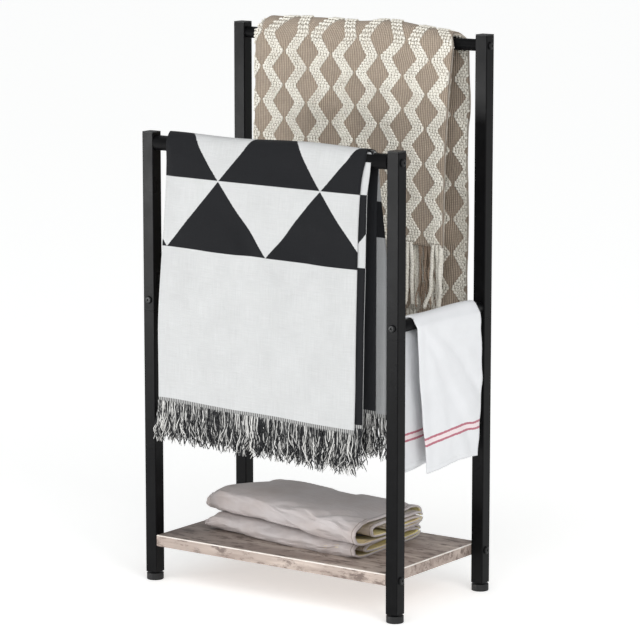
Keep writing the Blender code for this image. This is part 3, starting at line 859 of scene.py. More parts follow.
def front_throw_spans(side, down, top):
    """Where the front throw's fold and free edges hang: a little askew, lower ends to the left."""
    forward = side > 0
    fold = np.where(forward, -0.2265 - 0.020 * ease(down / 0.36) - 0.002 * (down / 0.5),
                    -0.236 - 0.006 * down)
    drawn_in = 0.0155 * (1 - np.exp(-down / 0.035)) + 0.016 * np.maximum(down - 0.05, 0)
    outer = np.where(forward, 0.2190 - drawn_in, 0.226 + 0.018 * ease(down / 0.2)) - 0.003 * top**2
    inner = np.where(forward, 0.2285 - 0.0075 * ease(down / 0.07) - 0.0085 * (down / 0.48),
                     0.2255 - 0.0035 * ease(down / 0.1))
    return fold, outer, inner


def build_front_throw(settings, materials):
    rail_y, rail_z, radius = rail_of("front_rail")
    low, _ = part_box("front_throw")
    front_hem, back_hem = low.z - 0.003, low.z + 0.013
    cloth = folded_drape(
        (rail_y, rail_z, radius), front_throw_spans, (rail_z - front_hem, rail_z - back_hem),
        (0.0016, 0.0055), lambda x: 0.0075 + 0.002 * np.sin(x * 21), FRONT_CUT["fold"],
        settings.mesh_step)
    x, down, side = cloth.points[..., 0], cloth.down, cloth.side
    # The panels hang in soft shallow waves, and the hems rise and fall a little.
    grow = ease(down / 0.25)
    cloth.points[..., 1] -= side * grow * 0.0017 * ripples(x, down, 3, 0.33)
    cloth.points[..., 1] -= side * grow * (1 - cloth.is_inner) * 0.0006 * (1 + ripples(x, down, 5, 0.12))
    cloth.points[..., 2] += grow * 0.0022 * ripples(x, side * 0.5, 8, 0.28)
    # The inner layer was folded a little short, so its hem shows higher than the outer one.
    cloth.points[..., 2] += cloth.is_inner * ease(down / 0.45) * np.where(side > 0, 0.010, 0.004)
    # The throw was hung a little crooked, so the right of the front panel reaches lower.
    skew = 0.003 + 0.011 * np.clip((x + 0.24) / 0.43, 0, 1)
    skew = np.where(side > 0, 1.0, 0.0) * skew
    cloth.points[..., 2] -= skew * (0.25 * ease(down / 0.04) + 0.75 * down / 0.48)
    throw = cloth.piece("folded_front_throw")
    settle(throw, cloth, ((-0.26, rail_y, rail_z), (0.26, rail_y, rail_z), radius), settings,
           0.0012, 6.0, 0.0035, in_plane=0.25)
    throw.data.materials.append(materials["face"])
    throw.data.materials.append(materials["reverse"])
    thicken(throw, settings.thickness)
    # Behind the rail, the sides that face it are painted in shade: the outer layer's a copy with a darker
    # ground, the inner layer's a plain dark copy.
    flat = throw.data.uv_layers[FLAT_CUT].data
    for face in throw.data.polygons:
        if face.center.y > rail_y + 0.004 and face.center.z < rail_z - 0.004 and face.normal.y < 0.2:
            face.material_index = 2 if flat[face.loop_start].uv[0] < FRONT_CUT["fold"] else 3
    belongs(throw, "front_throw", "mono_cotton", materials["painted_shade_strip"], materials["painted_gap_shade"],
            replaced=["front_throw"])
    fringes = [front_throw_fringe(cloth, settings, materials["yarn"], end) for end in ("front", "back")]
    return throw


def front_throw_fringe(cloth, settings, yarn, end):
    """Cut and combed fringe along both layers of one hem, in curly marl yarn."""
    draw = np.random.default_rng({"front": 41, "back": 42}[end])
    count, steps = settings.fringe_strands, 11
    column = np.sort(draw.uniform(0, cloth.points.shape[1] - 1.01, count))
    roots, normals = cloth.hem(end, column)
    roots = roots - normals * draw.uniform(-0.0006, settings.thickness + 0.0006, (count, 1))
    roots[:, 2] += 0.003
    lines = hanging_strands(roots, draw, (0.058, 0.079), 0.0058, 0.06, steps, lock=5)
    low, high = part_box(f"front_throw_{end}_fringe")
    lines[..., 0] = np.clip(lines[..., 0], -0.2585, 0.2585)
    middle = (low.y + high.y) / 2
    lines[..., 1] = middle + np.clip(lines[..., 1] - middle, -0.016, 0.016)
    thick = draw.uniform(0.0008, 0.00115, (count, 1)) * np.ones((1, steps))
    thick[:, -1] *= 0.6
    shades = np.clip(draw.choice([0.05, 0.45, 0.62, 0.90], count, p=[0.50, 0.14, 0.12, 0.24])
                     + draw.normal(0, 0.06, count), 0, 1)
    fringe = tubes(f"front_throw_{end}_fringe_yarns", lines, thick, 4, shades)
    return belongs(fringe, "front_throw", "mono_cotton", yarn, replaced=[f"front_throw_{end}_fringe"])


# ---------------------------------------------------------------------------------------------------
# The folded quilts


def build_quilt(name, shape, settings, materials):
    """A quilt folded in layers: an outer cover open at its right end, with its inner folds lying in it."""
    node = shape["node"]
    low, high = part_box(node)
    layers = [quilt_cover(name, low.z, high.z - low.z, shape, layer, settings) for layer in shape["layers"]]
    for piece in layers:
        piece.data.materials.append(materials["face"])
        piece.data.materials.append(materials["lining"])
        thicken(piece, settings.thickness)
        # The lining shows only in the open end.
        for face in piece.data.polygons:
            if face.center.x < shape["corners"][1][0] - 0.09:
                face.material_index = 0
    first = layers[0]
    choose(first)
    for piece in layers:
        piece.select_set(True)
    bpy.ops.object.join()
    first.name = first.data.name = name
    belongs(first, node, "greige_cotton", replaced=[node])


def quilt_cover(name, floor, height, shape, layer, settings):
    """One layer: a sheet wrapped round the front in a C, its lips at the back and its left end shut."""
    front_left, front_right, rear_left, rear_right = (np.array(c, float) for c in shape["corners"])
    rows, columns = (72, 76) if layer["name"] == "cover" else (52, 56)
    # 0 at the open right end, 1 at the folded left end, where the columns draw close.
    a = (1 - (1 - np.linspace(0, 1, columns)) ** 1.7)[None]
    turn = (radians(4) + np.linspace(0, 1, rows) * radians(352))[:, None]
    # The section is a rounded slab: depth runs 1 at the back to -1 at the front, rise 1 at the top.
    depth = np.sign(np.cos(turn)) * np.abs(np.cos(turn)) ** (2 / 6.5)
    rise = np.sign(np.sin(turn)) * np.abs(np.sin(turn)) ** (2 / 2.9)
    inset = layer["inset"]
    half = height / 2 - inset
    from_nose = np.clip((1 - a) / shape["nose"], 0, 1)
    close = (1 - (1 - from_nose) ** 2.1) ** (1 / 2.1)
    close = np.maximum(close, 0.02)
    # Where this layer starts in depth: the inner folds lie towards the back.
    front_share, back_share = layer["front"], layer["back"]
    share = (depth + 1) / 2
    share = front_share + (back_share - front_share) * share
    share = 0.5 + (share - 0.5) * (0.90 + 0.10 * close)
    left = front_left + (rear_left - front_left) * share[..., None]
    right = front_right + (rear_right - front_right) * share[..., None]
    right = right + np.array([layer["end"], 0.0])
    left = left + np.array([inset * 1.5, 0.0])
    plan = right + (left - right) * a[..., None]
    middle = floor + height * 0.5 * (1 - 0.42 * (1 - close))
    z = middle + half * close * rise
    # The stack is thickest a third of the way in from the nose and sinks towards its open end.
    top = ease(rise)
    z = z + top * layer["lift"] * (0.5 + 0.5 * np.cos((a - 0.62) * 2.6)) + top * shape["tilt"] * (a - 0.5)
    x, y = plan[..., 0], plan[..., 1]
    seed = layer["seed"]
    soft = ripples(x * 0.7, y * 1.6, seed, 0.11) * 0.0016 + ripples(x * 0.5, y * 2.2, seed + 1, 0.05) * 0.0007
    z = z + soft * np.where(rise > 0, 1.0, 0.15) * np.minimum(1, close * 1.2)
    front = ease(-depth) * (np.abs(rise) < 0.98)
    y = y + front * (ripples(x, z * 4, seed + 2, 0.10) * 0.0028
                     + ripples(x * 1.2, z * 7, seed + 3, 0.04) * 0.0010)
    # Short creases fan out from the nose.
    fan = np.exp(-((1 - a) / 0.16)) * np.sin(rise * 9 + y * 60) * 0.0014 * close
    z = z + fan
    x = x + np.exp(-(a / 0.10)) * ripples(y, z, seed + 4, 0.09) * 0.003
    points = np.stack(np.broadcast_arrays(x, y, z), -1)
    width = np.linalg.norm(front_left - front_right)
    round_about = 2 * np.linalg.norm(rear_left - front_left) + 2 * height
    cloth = Cloth(points[::-1], a * width, np.linspace(0, round_about, rows)[::-1, None])
    piece = cloth.piece(f"{name}_{layer['name']}")
    if layer["name"] == "cover":
        rumple(piece, cloth, np.broadcast_to(a, points.shape[:2])[::-1], settings)
    return piece


def rumple(piece, cloth, from_open_end, settings):
    """Lets the cover buckle: its cloth is a little longer than the filling under it, so creases form."""
    held = np.clip(1 - from_open_end / 0.05, 0, 1) + np.clip(1 - (1 - from_open_end) / 0.02, 0, 1)
    physics = {
        "quality": 6, "mass": 0.05, "tension_stiffness": 25, "compression_stiffness": 25,
        "shear_stiffness": 12, "bending_stiffness": settings.stiffness, "shrink_min": -settings.ease_in,
        "use_pressure": True, "uniform_pressure_force": 0.4,
    }
    simulate(piece, cloth, np.clip(held, 0.0, 1), settings.frames, settings.reach, physics,
             {"use_collision": False}, weightless=True)


def layer_of(name, inset, front, back, end, lift, seed):
    """How one layer lies: inset from the outside, its share of the depth, past the open end, and raised."""
    return {
        "name": name, "inset": inset, "front": front, "back": back, "end": end, "lift": lift, "seed": seed,
    }


QUILTS = {
    "folded_lower_quilt": {
        "node": "lower_quilt",
        "corners": ((-0.212, -0.070), (0.160, -0.106), (-0.205, 0.112), (0.153, 0.121)),
        "nose": 0.065,
        "tilt": 0.0,
        "layers": [
            layer_of("cover", 0.0, 0.0, 1.0, 0.0, 0.0, 31),
            layer_of("fold", 0.0062, 0.16, 0.97, 0.002, 0.0, 37),
        ],
    },
    "folded_upper_quilt": {
        "node": "upper_quilt",
        "corners": ((-0.232, -0.046), (0.176, -0.128), (-0.175, 0.098), (0.178, 0.090)),
        "nose": 0.115,
        "tilt": 0.006,
        "layers": [
            layer_of("cover", 0.0, 0.0, 1.0, 0.0, 0.002, 51),
            layer_of("fold", 0.0085, 0.22, 0.97, 0.006, 0.0, 57),
            layer_of("tuck", 0.0150, 0.42, 0.92, 0.010, 0.0, 63),
        ],
    },
}


# ---------------------------------------------------------------------------------------------------
# The rear throw


ZIGZAG = {
    "first": 0.0180,  # the first band's middle, from the outer free edge
    "spacing": 0.0547,
    "width": 0.0262,
    "swing": 0.0126,
    "tip": 0.313,  # a tip's height above the front hem
    "period": 0.0645,
}


def rear_throw_spans(side, down, top):
    """Where the rear throw's fold and free edges hang; over the rail the thick cloth draws in at its ends."""
    forward = side > 0
    fold = -0.2245 + 0.023 * top**2 - 0.002 * down
    fall = (1 - np.exp(-down / 0.16)) / (1 - np.exp(-0.375 / 0.16))
    outer = np.where(forward, 0.2205 - 0.017 * fall, 0.2215 + 0.004 * ease(down / 0.1)) - 0.012 * top**2
    inner = np.where(forward, 0.2185 - 0.018 * fall, 0.2290 + 0.002 * ease(down / 0.1)) - 0.014 * top**2
    return fold, outer, inner


def band_middle(band):
    return ZIGZAG["first"] + band * ZIGZAG["spacing"]


def zigzag_offset(band, along):
    """How far a band's middle swings from its line there."""
    turns = (along - ZIGZAG["tip"]) / ZIGZAG["period"]
    wave = 1 - 4 * np.abs(turns - np.round(turns))
    return np.where(band % 2 == 0, -1.0, 1.0) * ZIGZAG["swing"] * wave


def build_rear_throw(settings, materials):
    rail_y, rail_z, radius = rail_of("rear_rail")
    low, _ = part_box("rear_throw")
    front_hem, back_hem = 0.642, low.z
    cloth = folded_drape(
        (rail_y, rail_z, radius), rear_throw_spans, (rail_z - front_hem, rail_z - back_hem),
        (0.0050, 0.0135), lambda x: 0.0115 - 0.0145 * ease((x - 0.10) / 0.13), 0.4435, settings.mesh_step)
    x, down, side = cloth.points[..., 0], cloth.down, cloth.side
    grow = ease(down / 0.2)
    cloth.points[..., 1] -= side * grow * 0.0030 * ripples(x, down, 13, 0.30)
    cloth.points[..., 1] -= side * (1 - cloth.is_inner) * 0.0020 * ease(down / 0.08) * (
        1 + ripples(x, down, 15, 0.15))
    cloth.points[..., 2] += (1 - grow) * 0.0016 * ripples(x, side * 0.02, 18, 0.12)
    cloth.points[..., 2] += grow * 0.0024 * ripples(x, side * 0.4, 19, 0.30)
    throw = cloth.piece("folded_rear_throw")
    settle(throw, cloth, ((-0.26, rail_y, rail_z), (0.26, rail_y, rail_z), radius), settings,
           0.0035, 8.0, 0.006, in_plane=0.4)
    thicken(throw, settings.thickness, inner=0)
    belongs(throw, "rear_throw", "taupe_knit", materials["face"], replaced=["rear_throw"])
    pieces = [rear_throw_braids(cloth, materials["braid"], end) for end in ("front", "back")]
    for end in ("front", "back"):
        pieces += rear_throw_fringe(cloth, settings, materials, end)
    return throw


def columns_at(cloth, across):
    return np.interp(across, cloth.across[0], np.arange(cloth.across.shape[1]))


def rear_throw_braids(cloth, yarn, end):
    """The braids: rows of plump slanted stitches, four to a band, that follow the zigzags."""
    length = cloth.size[1]
    steps = 12  # stitches to a period, so that a row turns at each tip
    rise = ZIGZAG["period"] / steps
    first = int(np.ceil((0.004 - ZIGZAG["tip"]) / rise))
    last = int(np.floor((length - 0.004 - ZIGZAG["tip"]) / rise))
    along = ZIGZAG["tip"] + (np.arange(first, last) + 0.5) * rise
    along = along[along < length / 2] if end == "front" else along[along >= length / 2]
    band = np.arange(0, 17)
    middle = band_middle(band)
    band = band[(middle < 0.475) | (middle > 0.79)]
    column = np.array([-1.5, -0.5, 0.5, 1.5])
    grids = np.meshgrid(band, along, column, indexing="ij")
    bands, v, columns = (grid.ravel() for grid in grids)
    u = band_middle(bands) + zigzag_offset(bands, v)
    u = u + columns * ZIGZAG["width"] / 4
    width = cloth.size[0]
    keep = (u > 0.003) & (u < width - 0.003)
    bands, columns, u, v = bands[keep], columns[keep], u[keep], v[keep]
    row_rate = (len(cloth.points) - 1) / length
    place, normal = cloth.at(v * row_rate, columns_at(cloth, u))
    ahead, _ = cloth.at((v + 0.002) * row_rate, columns_at(cloth, u + zigzag_offset(bands, v + 0.002)
                                                           - zigzag_offset(bands, v)))
    lead, normal = unit(ahead - place), unit(normal)
    aside = np.cross(normal, lead)
    # Neighbouring rows slant against each other, as in a plait.
    slant = np.where((columns + 1.5) % 2 == 0, 1.0, -1.0) * radians(33)
    draw = np.random.default_rng(7 if end == "front" else 9)
    slant = slant + draw.normal(0, 0.05, len(u))
    main = lead * np.cos(slant)[:, None] + aside * np.sin(slant)[:, None]
    cross = np.cross(normal, main)
    rings, sides = (-0.62, 0.0, 0.62), 6
    template = [(-1.0, 0.0, 0.0)]
    for t in rings:
        for k in range(sides):
            a = 2 * pi * k / sides
            template.append((t, sqrt(1 - t * t * 0.9) * cos(a), sqrt(1 - t * t * 0.9) * sin(a)))
    template.append((1.0, 0.0, 0.0))
    template = np.array(template)
    size = np.array([0.0042, 0.00255, 0.0019]) * (1 + draw.normal(0, 0.05, (len(u), 1)))
    lift = place + normal * 0.0009
    points = (lift[:, None] + template[None, :, :1] * size[:, None, :1] * main[:, None]
              + template[None, :, 1:2] * size[:, None, 1:2] * cross[:, None]
              + template[None, :, 2:] * size[:, None, 2:] * normal[:, None])
    faces = []
    for k in range(sides):
        n = (k + 1) % sides
        faces.append((0, 1 + n, 1 + k, -1))
        for ring in range(len(rings) - 1):
            a = 1 + ring * sides
            faces.append((a + k, a + n, a + sides + n, a + sides + k))
        a = 1 + (len(rings) - 1) * sides
        faces.append((a + k, a + n, len(template) - 1, -1))
    every = []
    for face in faces:
        kept = np.array([i for i in face if i >= 0])
        every += (np.arange(len(u))[:, None] * len(template) + kept).tolist()
    flat = np.empty((len(u), len(template), 2))
    flat[..., 0] = np.arctan2(template[:, 2], template[:, 1])[None] / (2 * pi)
    flat[..., 1] = template[None, :, 0] * 0.0046 + (np.arange(len(u)) * STRAND_SHIFT)[:, None]
    braids = mesh_piece(f"rear_throw_{end}_braids", points, every, flat)
    return belongs(braids, "rear_throw", "taupe_knit", yarn)


def twisted(lines, plies, radius, pitch):
    """Centrelines of plies laid round each line, turning once every pitch."""
    run, side, other = round_about(lines)
    made = []
    for ply in range(plies):
        turn = (2 * pi * (run / pitch + ply / plies))[..., None]
        made.append(lines + radius * (np.cos(turn) * side + np.sin(turn) * other))
    return np.concatenate(made)


def rear_throw_fringe(cloth, settings, materials, end):
    """Below each band hang three thick twisted cords, and between the bands thin twisted strands."""
    draw = np.random.default_rng({"front": 61, "back": 62}[end])
    width, length = cloth.size
    at_along = {"front": 0.0, "back": length}[end]
    band = np.arange(17)
    middle = band_middle(band) + zigzag_offset(band, at_along)
    cords = (middle[:, None] + np.array([-0.0080, 0.0, 0.0080])).ravel()
    cords = cords[(cords > 0.003) & (cords < width - 0.003)]
    between = (middle[:-1, None] + ZIGZAG["spacing"] * np.linspace(0.27, 0.73, 8)).ravel()
    between = between + draw.normal(0, 0.0006, len(between))
    between = between[(between > 0.002) & (between < width - 0.002)]
    low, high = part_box(f"rear_throw_{end}_fringe")
    made = []
    for name, across, plies, thick, pitch, reach, curl, steps, sides, yarn in (
        ("cords", cords, 3, 0.00200, 0.018, (0.112, 0.124), 0.0030, 30, 6, "cord"),
        ("strands", between, 2, 0.00110, 0.0100, (0.100, 0.123), 0.0050, 28, 4, "strand"),
    ):
        roots, normals = cloth.hem(end, columns_at(cloth, across))
        roots = roots - normals * settings.thickness / 2
        roots[:, 2] += 0.004
        lines = hanging_strands(roots, draw, reach, curl, 0.035, steps)
        inside = 0.004 + thick
        lines[..., 1] = np.clip(lines[..., 1], low.y - inside, high.y + inside)
        plied = twisted(lines, plies, thick * 1.08, pitch)
        radii = np.full(plied.shape[:2], thick) * draw.uniform(0.92, 1.08, (len(plied), 1))
        radii[:, -1] *= 0.55
        piece = tubes(f"rear_throw_{end}_fringe_{name}", plied, radii, sides)
        made.append(belongs(piece, "rear_throw", "taupe_knit", materials[yarn]))
    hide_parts(f"rear_throw_{end}_fringe")
    return made


# ---------------------------------------------------------------------------------------------------
# The tea towel


def towel_spans(side, down, top):
    """Where the towel's fold and free edges hang along its rail: its fold is to the front."""
    outer_panel = side > 0
    fold = np.where(outer_panel, -0.102 + 0.036 * (down / 0.27) ** 1.1, -0.106 + 0.004 * down)
    belly = 0.017 * ease(down / 0.09) - 0.011 * ease((down - 0.15) / 0.13)
    free = np.where(outer_panel, 0.1035 + belly, 0.098 + 0.006 * ease(down / 0.2))
    return fold + 0.004 * top, free, free - 0.002


def build_tea_towel(settings, cotton):
    rail_low, rail_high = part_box("right_side_rail")
    rail_x = (rail_low.x + rail_high.x) / 2
    _, rail_z, radius = rail_of("right_side_rail")
    low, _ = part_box("tea_towel")
    cloth = folded_drape(
        (0.0, rail_z, radius), towel_spans, (rail_z - low.z + 0.002, rail_z - low.z - 0.002),
        (0.0012, 0.0042), lambda y: 0.0035 + 0.0012 * np.sin(y * 31), 0.208, settings.mesh_step)
    y, down, side = cloth.points[..., 0], cloth.down, cloth.side
    grow = ease(down / 0.2)
    cloth.points[..., 1] -= side * grow * 0.0022 * ripples(y, down, 23, 0.17)
    cloth.points[..., 1] -= side * (1 - cloth.is_inner) * grow * 0.0010 * (1 + ripples(y, down, 25, 0.08))
    cloth.points[..., 2] += grow * 0.0030 * np.sin((y + 0.02) * 19) * np.where(side > 0, 1, 0.6)
    cloth.points[..., 2] += cloth.is_inner * ease(down / 0.25) * 0.005
    # The rail runs front to back, so the towel is turned a quarter to lie on it.
    flat = cloth.points.copy()
    cloth.points[..., 0], cloth.points[..., 1] = rail_x - flat[..., 1], flat[..., 0]
    towel = cloth.piece("folded_tea_towel")
    settle(towel, cloth, ((rail_x, -0.13, rail_z), (rail_x, 0.13, rail_z), radius), settings,
           0.0012, 1.2, 0.006)
    thicken(towel, settings.thickness, inner=0)
    belongs(towel, "tea_towel", "white_cotton", cotton, replaced=["tea_towel"])
    return towel


# ---------------------------------------------------------------------------------------------------
# Settings


def colour_setting(name, description, hex_colour):
    return bpy.props.FloatVectorProperty(name=name, description=description, subtype="COLOR", size=4, min=0,
                                         max=1, default=linear(hex_colour))


def length_setting(name, description, default, low, high):
    return bpy.props.FloatProperty(name=name, description=description, default=default, min=low, max=high,
                                   unit="LENGTH")


def thickness_setting(default, high):
    return length_setting("Thickness", "Thickness of one layer", default, 0.0005, high)


def mesh_step_setting(default):
    return length_setting("Mesh step", "Distance between the cloth's points", default, 0.004, 0.02)


def frames_setting(default):
    return bpy.props.IntProperty(name="Settling frames", description="How long the cloth is let move",
                                 default=default, min=1, max=60)


class RackSettings(bpy.types.PropertyGroup):
    """Finishes of the steel rack and its board."""

    steel: colour_setting("Powder coat", "Colour of the baked film on the tubes", "#101011")
    screw: colour_setting("Screw", "Colour of the blackened screws", "#161617")
    plastic: colour_setting("Plastic", "Colour of the caps and feet", "#1A1A1B")
    insert: colour_setting("Insert", "Colour of the zinc-plated thread inserts", "#B9BABC")
    oak_pale: colour_setting("Pale grain", "Lightest tone of the printed oak", "#CDBEB3")
    oak_dark: colour_setting("Dark grain", "Darker tone of the printed oak", "#9C8C83")
    oak_streak: colour_setting("Streaks", "Worn streaks in the print", "#6E5F58")
    # The arris colour is the pale line along the board's eased top edges.
    oak_arris: colour_setting("Arris", "Core paper that shows along the worn edges", "#FBF6F0")


class FrontThrowSettings(bpy.types.PropertyGroup):
    """The black and white cotton throw on the front rail."""

    light: colour_setting("Ground", "Natural cotton of the plain ground", "#C8C9C9")
    dark: colour_setting("Triangles", "Charcoal yarn of the triangles", "#17181B")
    period: length_setting("Triangle width", "Base of one triangle", 0.231, 0.05, 0.6)
    row: length_setting("Triangle height", "Height of one row of triangles", 0.131, 0.03, 0.4)
    thickness: thickness_setting(0.0015, 0.004)
    mesh_step: mesh_step_setting(0.0103)
    frames: frames_setting(22)
    fringe_strands: bpy.props.IntProperty(name="Fringe strands", description="Strands along each hem",
                                          default=1450, min=100, max=2500)


class RearThrowSettings(bpy.types.PropertyGroup):
    """The taupe and cream throw on the rear rail."""

    ground: colour_setting("Ground", "Taupe cotton of the ribbed ground", "#B3A392")
    cream: colour_setting("Braids", "Cream cotton of the braids and cords", "#F7F4EA")
    thickness: thickness_setting(0.0034, 0.006)
    mesh_step: mesh_step_setting(0.0105)
    frames: frames_setting(18)


class TowelSettings(bpy.types.PropertyGroup):
    """The tea towel on the right-hand side rail."""

    white: colour_setting("Ground", "Bleached cotton", "#E3E4E6")
    red: colour_setting("Stripe", "Woven stripe", "#AE4C62")
    blush: colour_setting("Between", "Cloth between the stripes", "#F3D9DA")
    thickness: thickness_setting(0.0014, 0.004)
    mesh_step: mesh_step_setting(0.0085)
    frames: frames_setting(20)


class QuiltSettings(bpy.types.PropertyGroup):
    """The two folded quilts on the shelf."""

    face: colour_setting("Face", "Greige sateen", "#C6BFBE")
    warm: colour_setting("Warm tone", "Warmer patches of the sateen", "#BAAFAB")
    lining: colour_setting("Lining", "Cream-yellow lining", "#F3E9B0")
    thickness: thickness_setting(0.0038, 0.01)
    ease_in: bpy.props.FloatProperty(name="Ease", description="How much longer the cloth is than its filling",
                                     default=0.035, min=0, max=0.2, subtype="FACTOR")
    stiffness: bpy.props.FloatProperty(name="Stiffness", description="How firmly the cloth resists bending",
                                       default=0.8, min=0.01, max=20)
    reach: length_setting("Crease height", "How far the cloth may move as it buckles", 0.0042, 0, 0.01)
    frames: frames_setting(10)


class StageSettings(bpy.types.PropertyGroup):
    """Floor, light and camera."""

    floor: colour_setting("Floor", "Colour of the studio floor", "#F7F7F6")
    lens: bpy.props.FloatProperty(name="Lens", description="Focal length", default=179.42, min=20, max=300,
                                  unit="CAMERA")


# ---------------------------------------------------------------------------------------------------
# Operators


class QUILTRACK_OT_frame(bpy.types.Operator):
    """Paint the posts and model the rails, caps, screws and feet"""

    bl_idname = "quilt_rack.frame"
    bl_label = "Steel frame"

    def execute(self, context):
        finish = context.scene.rack_settings
        steel = make_material("powder_coated_steel", powder_coat, finish.steel)
        screw = make_material("black_oxide_steel", black_oxide, finish.screw)
        zinc = make_material("zinc_plated_steel", zinc_plate, finish.insert)
        plastic = make_material("moulded_polypropylene", moulded_plastic, finish.plastic)
        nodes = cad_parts
        paint([n for n in nodes if n.endswith(("_post", "_sleeve"))], steel)
        paint([n for n in nodes if n.endswith("_insert") and "rail" in n], zinc)
        paint([n for n in nodes if n.endswith("_foot_insert")], plastic)
        for node in RAILS:
            belongs(model_rail(node), "rack", "rack_steel", steel, replaced=[node])
        for corner in CORNERS:
            belongs(model_cap(corner), "rack", "black_plastic", plastic, replaced=[f"{corner}_post_cap"])
            belongs(model_foot(corner), f"{corner}_foot", "black_plastic", plastic,
                    replaced=[f"{corner}_foot"])
        head = 0.0032
        master = model_bolt("button_head", 0.007, head, 0.0023)
        for node in [n for n in nodes if n.endswith("_bolt")]:
            low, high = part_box(node)
            size, seat = high - low, (low + high) / 2
            # The bolt lies along its longer side, with its head away from the middle of the rack.
            axis = 0 if size.x > size.y else 1
            outward = Vector((0, 0, 0))
            outward[axis] = 1 if seat[axis] > 0 else -1
            seat[axis] = (high if seat[axis] > 0 else low)[axis] - outward[axis] * head
            turn = outward.to_track_quat("Z", "Y").to_matrix().to_4x4()
            belongs(copy_at(master, node + "_head", Matrix.Translation(seat) @ turn), "rack", "bolt_steel",
                    screw, replaced=[node])
        bpy.data.objects.remove(master)
        return {"FINISHED"}


class QUILTRACK_OT_shelf(bpy.types.Operator):
    """Model the oak-laminate board"""

    bl_idname = "quilt_rack.shelf"
    bl_label = "Oak shelf"

    def execute(self, context):
        finish = context.scene.rack_settings
        tones = (finish.oak_pale, finish.oak_dark, finish.oak_streak)
        # The last pair is painted shade towards the left end: strong on the top print, barely any on the edge
        # banding.
        oak = make_material("oak_laminate", oak_laminate, *tones, (0.52, 0.98))
        banding = make_material("oak_edge_banding", oak_laminate, *tones, (0.98, 1.0))
        arris = make_material("pale_arris_line", laminate_edge, finish.oak_arris)
        belongs(model_shelf(), "rack", "oak_laminate", oak, arris, banding, replaced=["shelf_board"])
        return {"FINISHED"}


class QUILTRACK_OT_front_throw(bpy.types.Operator):
    """Fold, hang and settle the black and white throw, and make its fringes"""

    bl_idname = "quilt_rack.front_throw"
    bl_label = "Front throw"

    def execute(self, context):
        settings = context.scene.front_throw_settings
        cut = FRONT_CUT | {"row": settings.row, "period": settings.period}
        # Near the far end one black block is woven across the whole width; the ground of this copy is painted
        # darker, as shade.
        painted_shade_strip = {"first_row": 0.328, "row": 0.065, "mirror": 0.4973, "period": 100.0}
        light, dark = settings.light, settings.dark
        materials = {
            "face": make_material("woven_cotton_jacquard", jacquard, light, dark, cut, False),
            "reverse": make_material("woven_cotton_jacquard_reverse", jacquard, light, dark, cut, True),
            "painted_shade_strip": make_material("woven_cotton_jacquard_painted_shade_strip", jacquard, linear("#A3A4A5"), dark,
                                     cut | painted_shade_strip, False),
            # Painted shade: a plain dark copy in the reverse's colours, without its light triangles, for the
            # deep shade between the panels.
            "painted_gap_shade": make_material("woven_cotton_jacquard_painted_gap_shade", jacquard, light, linear("#26272A"),
                                       cut | {"first_row": 9.0}, True),
            "yarn": make_material("marl_cotton_yarn", marl_yarn, linear("#DAD9D6"), linear("#2B2C2E")),
        }
        build_front_throw(settings, materials)
        return {"FINISHED"}


class QUILTRACK_OT_rear_throw(bpy.types.Operator):
    """Fold, hang and settle the taupe throw, and sew on its braids, cords and strands"""

    bl_idname = "quilt_rack.rear_throw"
    bl_label = "Rear throw"

    def execute(self, context):
        settings = context.scene.rear_throw_settings
        shadow = linear("#9A8E80")
        materials = {
            "face": make_material("ribbed_cotton_knit", taupe_weave, settings.ground, settings.cream, shadow,
                                  ZIGZAG),
            "braid": make_material("braided_cotton_yarn", spun_yarn, settings.cream, linear("#C6BEB0"), 420),
            "cord": make_material("twisted_cotton_cord", spun_yarn, settings.cream, linear("#B0A799"), 380),
            "strand": make_material("twisted_taupe_yarn", spun_yarn, linear("#A5917F"), linear("#6E5E51"),
                                    520),
        }
        build_rear_throw(settings, materials)
        return {"FINISHED"}


class QUILTRACK_OT_tea_towel(bpy.types.Operator):
    """Fold, hang and settle the striped tea towel"""

    bl_idname = "quilt_rack.tea_towel"
    bl_label = "Tea towel"

    def execute(self, context):
        settings = context.scene.towel_settings
        cut = {"length": 0.5950, "stripes": (0.053, 0.065), "stripe_width": 0.0042, "hem": 0.010}
        cotton = make_material("bleached_cotton_twill", striped_twill, settings.white, settings.red,
                               settings.blush, cut)
        build_tea_towel(settings, cotton)
        return {"FINISHED"}


class QUILTRACK_OT_quilts(bpy.types.Operator):
    """Fold the two quilts on the shelf"""

    bl_idname = "quilt_rack.quilts"
    bl_label = "Folded quilts"

    def execute(self, context):
        settings = context.scene.quilt_settings
        materials = {
            "face": make_material("washed_cotton_sateen", sateen, settings.face, settings.warm,
                                  linear("#8C7F79")),
            "lining": make_material("sateen_lining", sateen, settings.lining, linear("#F0D6B4"),
                                    linear("#B7A77C")),
        }
        for name, shape in QUILTS.items():
            build_quilt(name, shape, settings, materials)
        return {"FINISHED"}


def aimed(data, place, target):
    """Puts a light or a camera in the scene, pointing at the target."""
    holder = bpy.data.objects.new(data.name, data)
    holder.location = place
    holder.rotation_euler = (Vector(target) - Vector(place)).to_track_quat("-Z", "Y").to_euler()
    bpy.context.scene.collection.objects.link(holder)
    return holder


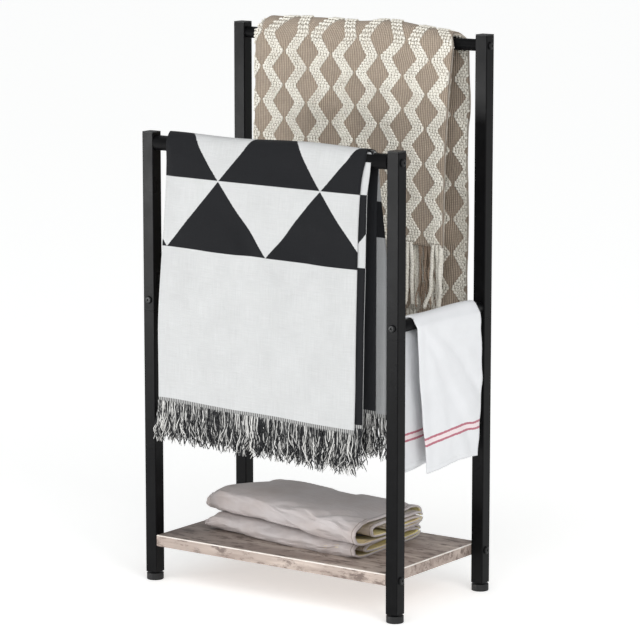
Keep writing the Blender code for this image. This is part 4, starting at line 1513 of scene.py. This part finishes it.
class QUILTRACK_OT_stage(bpy.types.Operator):
    """Set the floor, the soft studio light and the camera"""

    bl_idname = "quilt_rack.stage"
    bl_label = "Stage"

    def execute(self, context):
        settings = context.scene.stage_settings
        scene = context.scene
        floor = start("studio_floor", bpy.ops.mesh.primitive_plane_add, size=400, location=(0, 0, 0))
        bpy.ops.object.mode_set(mode="EDIT")
        bpy.ops.mesh.select_all(action="SELECT")
        bpy.ops.mesh.subdivide(number_cuts=3)
        bpy.ops.object.mode_set(mode="OBJECT")
        floor.data.materials.append(make_material("matt_paint", matt_paint, settings.floor))
        world = bpy.data.worlds.new("soft_sky")
        world.use_nodes = True
        back = world.node_tree.nodes["Background"]
        back.inputs["Color"].default_value = (0.97, 0.985, 1.0, 1.0)
        back.inputs["Strength"].default_value = 0.45
        scene.world = world
        for name, size, power, place, target in (
            ("key_softbox", (1.2, 0.56), 66, (-2.6, -3.65, 0.30), (0, 0, 0.45)),
            ("side_softbox", (2.0, 2.0), 42, (3.3, -1.5, 2.2), (0, 0, 0.4)),
        ):
            lamp = bpy.data.lights.new(name, "AREA")
            lamp.shape = "RECTANGLE"
            (lamp.size, lamp.size_y), lamp.energy = size, power
            aimed(lamp, place, target)
        top = bpy.data.lights.new("top_light", "SUN")
        top.energy, top.angle = 0.95, radians(70)
        aimed(top, (0, 0, 0), (-0.28, 0.72, -0.64))
        scene.view_settings.view_transform = "Standard"
        lens = bpy.data.cameras.new("camera")
        lens.sensor_width, lens.lens = 36, settings.lens
        lens.clip_end = 500
        scene.camera = aimed(lens, (3.3861, -4.7557, 1.4993), (-0.0431, 0.0718, 0.4901))
        return {"FINISHED"}


class QUILTRACK_PT_panel(bpy.types.Panel):
    """Lists the steps that build the dressed rack."""

    bl_idname = "QUILTRACK_PT_panel"
    bl_label = "Quilt rack"
    bl_space_type = "VIEW_3D"
    bl_region_type = "UI"
    bl_category = "Quilt rack"

    def draw(self, context):
        column = self.layout.column(align=True)
        for step in STEPS:
            column.operator(step.bl_idname)
        for name in SETTINGS:
            column.separator()
            for prop in getattr(context.scene, name).bl_rna.properties:
                if not prop.is_readonly and prop.identifier != "name":
                    column.prop(getattr(context.scene, name), prop.identifier)


SETTINGS = {
    "rack_settings": RackSettings,
    "front_throw_settings": FrontThrowSettings,
    "rear_throw_settings": RearThrowSettings,
    "towel_settings": TowelSettings,
    "quilt_settings": QuiltSettings,
    "stage_settings": StageSettings,
}
STEPS = (
    QUILTRACK_OT_stage,
    QUILTRACK_OT_frame,
    QUILTRACK_OT_shelf,
    QUILTRACK_OT_front_throw,
    QUILTRACK_OT_rear_throw,
    QUILTRACK_OT_tea_towel,
    QUILTRACK_OT_quilts,
)


def register():
    for made in (*SETTINGS.values(), *STEPS, QUILTRACK_PT_panel):
        bpy.utils.register_class(made)
    for name, group in SETTINGS.items():
        setattr(bpy.types.Scene, name, bpy.props.PointerProperty(type=group))


def unregister():
    for name in SETTINGS:
        delattr(bpy.types.Scene, name)
    for made in reversed((*SETTINGS.values(), *STEPS, QUILTRACK_PT_panel)):
        bpy.utils.unregister_class(made)


def main():
    register()
    for step in STEPS:
        group, action = step.bl_idname.split(".")
        getattr(getattr(bpy.ops, group), action)()
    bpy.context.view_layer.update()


if __name__ == "__main__":
    main()
